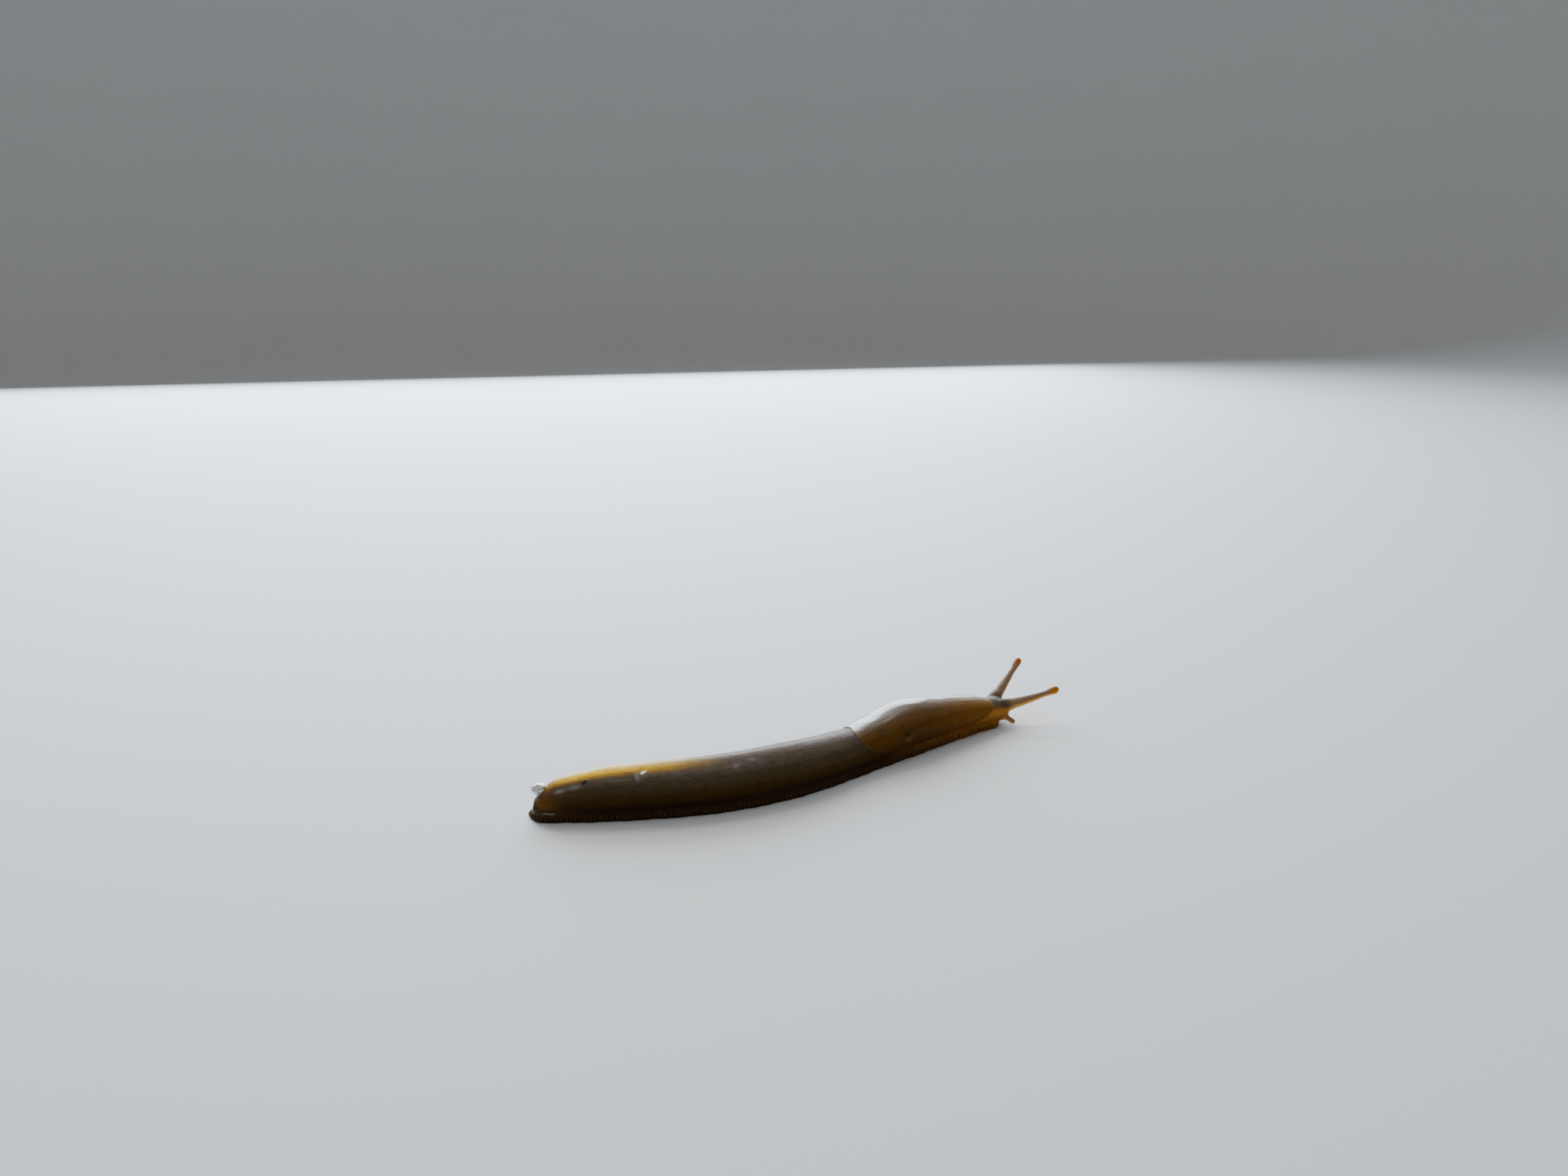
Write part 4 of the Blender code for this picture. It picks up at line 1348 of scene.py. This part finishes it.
def make_body_skin(settings):
    """Olive-brown flanks, a painted grey sheen above them, a golden keel behind, and the head's feelers."""
    tree, surface = new_material("body skin")
    back, along, flow = tree.value("back"), tree.value("along"), tree.value("flow", "Vector")
    mottle = tree.group("Mottle", Flow=flow, Amount=settings.mottle)["Factor"]
    furrows = tree.group("Furrows", Flow=flow, Pitch=0.55, Length=3.6, Width=0.26)
    grain = tree.group("Grain", Size=settings.grain_size * 1000)
    colour = body_colour(tree, settings, back, along, mottle, furrows)
    # Painted highlights and a painted reflection on the small dents and the crease of the flank.
    colour = tree.mix(tree.times(tree.value("pale"), 0.62), colour, (0.58, 0.58, 0.60))
    # Darker at the shade spots: painted shade beside the crease near the tail, and darker spots of the skin
    # elsewhere.
    colour = tree.mix(tree.times(tree.value("shade"), 0.85), colour, (0.012, 0.009, 0.006))
    # A painted highlight: a white glint in the crease near the tail, also made glossy below.
    painted_glint = tree.fleck(flow, *PAINTED_GLINT)
    colour = tree.mix(painted_glint, colour, (0.96, 0.97, 0.98))
    speck = tree.fleck(flow, *DARK_SPECK)
    colour = tree.mix(tree.times(speck, 0.85), colour, (0.014, 0.010, 0.010))
    up = tree.height()
    fold = tree.ramp(
        tree.span(up, 0.0, 0.0020), (0.0, 0.012, 0.006, 0.002), (0.45, *settings.fringe_colour)
    )
    fold = tree.mix(tree.span(along, 0.62, 0.95), fold, (0.17, 0.066, 0.008))
    colour = tree.mix(tree.value("fringe"), colour, tree.scaled(fold, mottle))
    # Painted shade: nearly black in the grooves of the fringe.
    groove = tree.span(tree.value("groove"), 0.25, 0.65)
    colour = tree.mix(groove, colour, (0.004, 0.003, 0.002))
    # A painted highlight, bluish white, on the top of the foot behind the tail.
    painted_heel_glint = tree.times(tree.fleck(flow, *PAINTED_HEEL_GLINT), tree.span(mottle, 0.75, 1.15, 0.05, 0.42))
    colour = tree.mix(painted_heel_glint, colour, (0.30, 0.32, 0.36))
    sole = tree.span(up, 0.00004, 0.0002, 1.0, 0.0)
    colour = tree.mix(sole, colour, (0.30, 0.22, 0.12))
    feeler = tree.value("feeler")
    stalk = feeler_colour(tree, back, feeler, grain["Speck"])
    colour = tree.mix(tree.span(feeler, 0.01, 0.22), colour, stalk)
    pale_specks = tree.times(
        grain["Speck"], tree.span(along, 0.90, 0.96, 0.0, 0.10), tree.span(back, 0.35, 0.60, 0.25, 1.0)
    )
    colour = tree.mix(pale_specks, colour, (0.55, 0.46, 0.36))
    tree.link(colour, surface.inputs["Base Color"])
    make_wet(tree, surface, settings, BODY_GLOW_DEPTH)
    wet = tree.noise(flow, 0.5, 3.0)
    dull = tree.span(wet, 0.3, 0.7, settings.roughness - 0.08, settings.roughness + 0.14)
    tree.link(dull, surface.inputs["Roughness"])
    film = tree.times(
        tree.span(wet, 0.3, 0.65, 0.4, 0.95),
        tree.span(back, 0.2, 0.55, 0.06, 0.9),
        tree.span(back, 0.62, 0.82, 1.0, 0.03),
        tree.span(along, 0.50, 0.60, 1.0, 0.6),
        tree.span(feeler, 0.80, 0.93, 1.0, 0.3),
    )
    film = tree.math("MAXIMUM", film, tree.math("MAXIMUM", painted_glint, painted_heel_glint))
    film = tree.times(film, tree.math("SUBTRACT", 1.0, groove))
    tree.link(film, surface.inputs["Coat Weight"])
    lines = tree.times(furrows["Height"], tree.span(along, 0.88, 0.94, 1.0, 0.0))
    bumped(tree, surface, (lines, settings.fine_furrow_depth), (grain["Height"], settings.fine_grain_depth))


def make_mantle_skin(settings):
    """Orange-brown below, pinkish tan above, finely grained, with a pale lip."""
    tree, surface = new_material("mantle skin")
    back, along, flow = tree.value("back"), tree.value("along"), tree.value("flow", "Vector")
    grain = tree.group("Grain", Size=settings.grain_size * 1150)
    colour = tree.ramp(
        back,
        (0.00, 0.036, 0.011, 0.0),
        (0.26, *settings.mantle_low_colour),
        (0.48, 0.092, 0.036, 0.001),
        (0.62, 0.118, 0.058, 0.013),
        (0.76, *settings.mantle_top_colour),
        (1.00, 0.17, 0.115, 0.08),
    )
    warm = tree.ramp(
        back,
        (0.0, 0.14, 0.048, 0.0),
        (0.5, 0.18, 0.066, 0.002),
        (0.8, 0.25, 0.12, 0.035),
        (1.0, 0.34, 0.22, 0.13),
    )
    colour = tree.mix(tree.times(tree.span(along, 0.74, 0.92), 0.75), colour, warm)
    colour = tree.scaled(colour, tree.group("Mottle", Flow=flow, Amount=settings.mottle * 0.9)["Factor"])
    colour = tree.mix(tree.times(tree.value("pale"), 0.35), colour, (0.48, 0.27, 0.10))
    # Darker at the shade spots: painted shade in and round the breathing pore, and darker patches of the skin
    # elsewhere.
    colour = tree.mix(tree.times(tree.value("shade"), 0.8), colour, (0.030, 0.014, 0.005))
    # Painted shade in the opening of the breathing pore.
    slit = tree.fleck(flow, *PORE_SLIT)
    colour = tree.mix(tree.times(slit, 0.4), colour, (0.020, 0.008, 0.001))
    colour = tree.mix(tree.times(grain["Speck"], 0.05), colour, (0.60, 0.45, 0.30))
    tree.link(colour, surface.inputs["Base Color"])
    make_wet(tree, surface, settings, MANTLE_GLOW_DEPTH)
    wetter = {"IOR": MANTLE_IOR, "Coat IOR": MANTLE_FILM_IOR, "Coat Roughness": settings.film_roughness + 0.04}
    tree.fill(surface, wetter)
    wet = tree.noise(flow, 0.35, 3.0)
    dull = tree.span(wet, 0.3, 0.7, settings.roughness - 0.08, settings.roughness + 0.06)
    dull = tree.math("ADD", dull, tree.span(back, 0.45, 0.80, 0.30, 0.0))
    tree.link(dull, surface.inputs["Roughness"])
    ragged_back = tree.math("ADD", back, tree.span(wet, 0.35, 0.65, -0.05, 0.05))
    film = tree.times(
        tree.span(wet, 0.3, 0.65, 0.6, 1.0),
        tree.span(ragged_back, 0.66, 0.82, 0.02, 1.0),
        tree.span(grain["Height"], 0.1, 0.8, 0.5, 1.0),
        tree.span(along, 0.70, 0.90, 1.0, 0.4),
    )
    tree.link(film, surface.inputs["Coat Weight"])
    ripples = tree.group("Furrows", Flow=flow, Pitch=0.6, Length=1.3, Width=0.40)["Height"]
    bumped(
        tree,
        surface,
        (ripples, settings.fine_furrow_depth * 1.2),
        (grain["Height"], settings.fine_grain_depth * 2.2),
    )


def make_eye_surface(settings):
    """Black-brown and glassy, with a few lighter specks."""
    tree, surface = new_material("eye")
    grain = tree.group("Grain", Size=0.15)
    colour = tree.mix(tree.times(grain["Speck"], 0.5), settings.colour, (0.06, 0.03, 0.015))
    tree.link(colour, surface.inputs["Base Color"])
    tree.link(tree.span(grain["Height"], 0.0, 1.2, 0.06, 0.14), surface.inputs["Roughness"])
    tree.fill(surface, {"Coat Weight": 1.0, "Coat Roughness": 0.03})


def make_slime_surface(settings):
    """Milky dried slime that is brown below, with a little dirt in it."""
    tree, surface = new_material("dried slime")
    place = tree.place()
    cloud = tree.noise(place, 900.0, 4.0)
    colour = tree.mix(tree.span(cloud, 0.35, 0.65), settings.colour, (0.50, 0.44, 0.36))
    colour = tree.mix(tree.span(tree.height(), 0.0058, 0.0078, 0.92, 0.0), colour, (0.22, 0.085, 0.022))
    dirt = tree.noise(place, 2600.0, 2.0)
    colour = tree.mix(tree.span(dirt, 0.66, 0.74, 0.0, 0.5), colour, (0.20, 0.12, 0.06))
    tree.link(colour, surface.inputs["Base Color"])
    tree.link(tree.span(cloud, 0.3, 0.7, 0.12, 0.40), surface.inputs["Roughness"])
    fixed = {
        "Subsurface Weight": 0.5,
        "Subsurface Radius": (1.0, 0.8, 0.6),
        "Subsurface Scale": 0.0012,
        "Coat Weight": 1.0,
        "Coat Roughness": 0.06,
        "Transmission Weight": 0.25,
    }
    tree.fill(surface, fixed)
    bumped(tree, surface, (cloud, 0.00006))


def make_floor_surface(settings):
    """A plain pale studio floor."""
    tree, surface = new_material("studio floor")
    cloud = tree.noise(tree.place(), 6.0, 2.0)
    colour = tree.mix(tree.span(cloud, 0.2, 0.8, 0.0, 0.06), settings.floor_colour, (0.60, 0.60, 0.60))
    tree.link(colour, surface.inputs["Base Color"])
    surface.inputs["Roughness"].default_value = 0.8


# ---- properties


def colour_property(name, description, default):
    return bpy.props.FloatVectorProperty(
        name=name, description=description, default=default, subtype="COLOR", min=0.0, max=1.0, size=3
    )


def length_property(name, description, default):
    return bpy.props.FloatProperty(
        name=name, description=description, default=default, min=0.0, unit="LENGTH", precision=6
    )


def share_property(name, description, default):
    return bpy.props.FloatProperty(
        name=name, description=description, default=default, min=0.0, max=1.0, subtype="FACTOR"
    )


def power_property(name, description, default):
    return bpy.props.FloatProperty(name=name, description=description, default=default, unit="POWER")


class SlugSkinSettings(bpy.types.PropertyGroup):
    """Sizes, colours and wetness of the skin."""

    furrow_pitch: length_property("Furrow pitch", "How far apart the furrows lie", 0.00100)
    furrow_length: length_property("Furrow length", "How far a furrow runs before it meets another", 0.0080)
    furrow_depth: length_property("Furrow depth", "How deep the furrows are", 0.000030)
    fine_furrow_depth: length_property("Fine furrow depth", "How deep the fine lines are", 0.000019)
    groove_pitch: length_property("Groove pitch", "How far apart the grooves of the fringe are", 0.00132)
    groove_depth: length_property("Groove depth", "How deep the grooves of the fringe are", 0.00024)
    mantle_swell: length_property("Mantle swell", "How far the mantle rises and falls", 0.00010)
    grain_height: length_property("Grain height", "How high the grains of the feelers are", 0.00016)
    grain_size: length_property("Grain size", "How wide the fine grains of the skin are", 0.00032)
    fine_grain_depth: length_property("Fine grain depth", "How deep the fine grains are", 0.00003)
    low_colour: colour_property("Low colour", "The flank just above the foot", (0.020, 0.009, 0.002))
    flank_colour: colour_property("Flank colour", "The middle of the flank", (0.066, 0.042, 0.015))
    # The back colour is greyed to stand for a painted sheen of the wet skin.
    back_colour: colour_property("Back colour", "The upper edge of the flank", (0.104, 0.070, 0.047))
    gold_colour: colour_property("Gold colour", "The keel of the tail", (1.00, 0.56, 0.0))
    mantle_low_colour: colour_property("Low mantle colour", "The lower mantle", (0.068, 0.023, 0.0))
    mantle_top_colour: colour_property("Top mantle colour", "The upper mantle", (0.125, 0.072, 0.031))
    fringe_colour: colour_property("Fringe colour", "The folds of the fringe", (0.045, 0.020, 0.005))
    mottle: share_property("Mottle", "How much the colour changes from place to place", 0.24)
    roughness: share_property("Roughness", "How dull the skin under the film is", 0.36)
    film_roughness: share_property("Film roughness", "How dull the film of slime is", 0.17)
    glow: share_property("Glow", "How much light goes through the skin", 0.25)


class SlugEyeSettings(bpy.types.PropertyGroup):
    """The eyes."""

    colour: colour_property("Eye colour", "The dark of the eye", (0.012, 0.008, 0.006))


class SlimePlugSettings(bpy.types.PropertyGroup):
    """The plug of dried slime behind the tail."""

    colour: colour_property("Slime colour", "The milky slime", (0.92, 0.92, 0.90))
    lump_height: length_property("Lump height", "How high its lumps are", 0.00035)


class SlugStageSettings(bpy.types.PropertyGroup):
    """The floor and the lights."""

    floor_colour: colour_property("Floor colour", "The pale floor", (0.70, 0.69, 0.67))
    floor_reach: length_property("Floor reach", "How far the floor reaches", 2.6)
    key_power: power_property("Key power", "Power of the soft light behind", 3.4)
    top_power: power_property("Top power", "Power of the broad light above", 1.3)
    rim_power: power_property("Rim power", "Power of the low light far behind", 38.0)
    fill_power: power_property("Fill power", "Power of the soft light in front", 0.3)
    sky_strength: bpy.props.FloatProperty(
        name="Sky strength", description="Strength of the even light all round", default=0.27, min=0.0
    )


# ---- operators


class SlugSkinOperator(bpy.types.Operator):
    """Build the skin of the whole slug as one piece"""

    bl_idname = "slug.build_skin"
    bl_label = "Build skin"

    def execute(self, context):
        settings = context.scene.slug_skin
        make_furrow_group()
        make_grain_group()
        make_mottle_group()
        make_fleck_group()
        make_low_colour_group(settings)
        make_body_skin(settings)
        make_mantle_skin(settings)
        skin = build_skin(settings)
        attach(skin, "root")
        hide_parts(*FLESH_NODES)
        return {"FINISHED"}


class SlugEyesOperator(bpy.types.Operator):
    """Build the two eyes in the knobs of the upper feelers"""

    bl_idname = "slug.build_eyes"
    bl_label = "Build eyes"

    def execute(self, context):
        make_eye_surface(context.scene.slug_eyes)
        for hand, feeler in EYE_FEELERS.items():
            centre, radius, out = eye_place(hand, feeler)
            bpy.ops.object.select_all(action="DESELECT")
            bpy.ops.mesh.primitive_uv_sphere_add(segments=48, ring_count=32, radius=radius, location=centre)
            eye = bpy.context.active_object
            eye.name = f"eye_dark_{hand}"
            bpy.ops.object.transform_apply(location=True)
            bulge_cornea(eye, centre, radius, out)
            eye.data.materials.append(bpy.data.materials["eye"])
            bpy.ops.object.shade_smooth()
            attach(eye, "root")
            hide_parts(f"eye_{hand}")
        return {"FINISHED"}


def bulge_cornea(eye, centre, radius, out):
    """Raises the front of an eye a little, as a cornea does."""
    points = coordinates(eye)
    ahead = (points - centre) @ out / radius
    points += out * (0.10 * radius * smooth_step(ahead, 0.6, 1.0))[:, None]
    move_to(eye, points)


class SlugSlimeOperator(bpy.types.Operator):
    """Build the plug of dried slime behind the tail"""

    bl_idname = "slug.build_slime"
    bl_label = "Build slime plug"

    def execute(self, context):
        settings = context.scene.slug_slime
        make_slime_surface(settings)
        low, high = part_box("mucus_plug")
        centre, reach = (low + high) / 2, (high - low) / 2
        bpy.ops.object.select_all(action="DESELECT")
        bpy.ops.mesh.primitive_ico_sphere_add(subdivisions=6, radius=1.0, location=(0, 0, 0))
        plug = bpy.context.active_object
        plug.name = "slime_plug"
        unit = coordinates(plug)
        lumps = 0.9 * rough(unit * 1.3, 41.0) + 0.22 * rough(unit * 3.0, 43.0)
        lumps += 0.30 * (smooth_step(cells(unit * 2.1), 0.0, 0.7) - 0.5)
        lumpy = unit * (np.array(reach) * 1.12 + settings.lump_height * lumps[:, None])
        hang = np.clip(-unit[:, 2], 0, 1)
        lumpy[:, :2] *= (1 - 0.30 * hang)[:, None]
        lumpy[:, 2] *= 1 + 1.5 * hang
        lumpy[:, 0] += 0.0009 * hang**1.5
        move_to(plug, np.array(centre) + lumpy)
        plug.data.materials.append(bpy.data.materials["dried slime"])
        select_only(plug)
        bpy.ops.object.shade_smooth()
        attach(plug, "root")
        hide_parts("mucus_plug")
        return {"FINISHED"}


CAMERA_PLACE = (-0.1388, -0.2784, 0.147)
CAMERA_TURN = -25.2
CAMERA_TILT = 74.03
LENS_MM, SENSOR_MM = 27.05, 36.0
# Each light: its place to the right of the slug, beyond it and above it, its width and height, its colour.
LIGHTS = (
    ("key", (-0.18, 0.44, 0.62), (0.30, 0.30), (0.97, 0.98, 1.0)),
    ("top", (-0.05, 0.10, 0.75), (0.60, 0.60), (0.86, 0.93, 1.0)),
    ("rim", (-0.24, 1.0, 0.41), (1.3, 0.74), (0.74, 0.87, 1.0)),
    ("fill", (0.25, -0.7, 0.5), (0.6, 0.6), (1.0, 0.97, 0.93)),
)
FLOOR_ROWS, FLOOR_COLUMNS = 61, 97


def studio_point(right, forward, up):
    """A point so far to the right of the slug, beyond it and above it, as the camera sees it."""
    turn = math.radians(CAMERA_TURN)
    return Vector(
        (
            right * math.cos(turn) - forward * math.sin(turn),
            right * math.sin(turn) + forward * math.cos(turn),
            up,
        )
    )


def bowl(out_share, round_share, reach):
    """The points of a round floor, flat in its middle, that bends up to a wall all round."""
    bend_start, bend_radius = reach * 0.6, reach * 0.4
    run = out_share * (bend_start + bend_radius * math.pi / 2 + reach * 0.5)
    turn = np.clip((run - bend_start) / bend_radius, 0, math.pi / 2)
    out = np.minimum(run, bend_start) + bend_radius * np.sin(turn)
    up = bend_radius * (1 - np.cos(turn)) + np.clip(run - bend_start - bend_radius * math.pi / 2, 0, None)
    heading = round_share * 2 * math.pi
    return np.stack((out * np.cos(heading), out * np.sin(heading), up), axis=-1)


def soft_light(name, place, power, size, colour):
    """A large area light that faces the slug."""
    data = bpy.data.lights.new(name, "AREA")
    data.shape = "RECTANGLE"
    data.size, data.size_y = size
    data.energy = power
    data.color = colour
    light = bpy.data.objects.new(name, data)
    bpy.context.scene.collection.objects.link(light)
    light.location = place
    light.rotation_euler = (Vector((0, 0, 0.005)) - place).to_track_quat("-Z", "Y").to_euler()
    light.visible_camera = False


class SlugStageOperator(bpy.types.Operator):
    """Build the floor, the lights and the camera"""

    bl_idname = "slug.build_stage"
    bl_label = "Build stage"

    def execute(self, context):
        settings = context.scene.slug_stage
        make_floor_surface(settings)
        bpy.ops.object.select_all(action="DESELECT")
        floor, row, column = rolled_grid("floor", FLOOR_ROWS, FLOOR_COLUMNS)
        move_to(floor, bowl(row / (FLOOR_ROWS - 1), column / (FLOOR_COLUMNS - 1), settings.floor_reach))
        closed_up(floor)
        floor.data.materials.append(bpy.data.materials["studio floor"])
        bpy.ops.object.shade_smooth()
        for name, place, size, colour in LIGHTS:
            soft_light(name, studio_point(*place), getattr(settings, f"{name}_power"), size, colour)
        world = bpy.data.worlds.new("soft sky")
        world.use_nodes = True
        background = world.node_tree.nodes["Background"]
        background.inputs["Color"].default_value = (0.93, 0.95, 1.0, 1.0)
        background.inputs["Strength"].default_value = settings.sky_strength
        context.scene.world = world
        data = bpy.data.cameras.new("camera")
        data.lens, data.sensor_width, data.sensor_fit = LENS_MM, SENSOR_MM, "HORIZONTAL"
        data.clip_start, data.clip_end = 0.01, 50.0
        camera = bpy.data.objects.new("camera", data)
        context.scene.collection.objects.link(camera)
        camera.location = CAMERA_PLACE
        camera.rotation_euler = (math.radians(CAMERA_TILT), 0.0, math.radians(CAMERA_TURN))
        context.scene.camera = camera
        return {"FINISHED"}


class SlugPanel(bpy.types.Panel):
    """Settings and steps of the slug"""

    bl_idname = "VIEW3D_PT_slug"
    bl_label = "Banana slug"
    bl_space_type = "VIEW_3D"
    bl_region_type = "UI"
    bl_category = "Slug"

    def draw(self, context):
        for group, operator in (
            ("slug_skin", SlugSkinOperator),
            ("slug_eyes", SlugEyesOperator),
            ("slug_slime", SlugSlimeOperator),
            ("slug_stage", SlugStageOperator),
        ):
            box = self.layout.box()
            settings = getattr(context.scene, group)
            for name in settings.__annotations__:
                box.prop(settings, name)
            box.operator(operator.bl_idname)


SETTINGS = {
    "slug_skin": SlugSkinSettings,
    "slug_eyes": SlugEyeSettings,
    "slug_slime": SlimePlugSettings,
    "slug_stage": SlugStageSettings,
}
OPERATORS = (SlugSkinOperator, SlugEyesOperator, SlugSlimeOperator, SlugStageOperator)


def register():
    for made in (*SETTINGS.values(), *OPERATORS, SlugPanel):
        bpy.utils.register_class(made)
    for name, kind in SETTINGS.items():
        setattr(bpy.types.Scene, name, bpy.props.PointerProperty(type=kind))


def unregister():
    for name in SETTINGS:
        delattr(bpy.types.Scene, name)
    for made in reversed((*SETTINGS.values(), *OPERATORS, SlugPanel)):
        bpy.utils.unregister_class(made)


def main():
    register()
    bpy.ops.slug.build_skin()
    bpy.ops.slug.build_eyes()
    bpy.ops.slug.build_slime()
    bpy.ops.slug.build_stage()


if __name__ == "__main__":
    main()
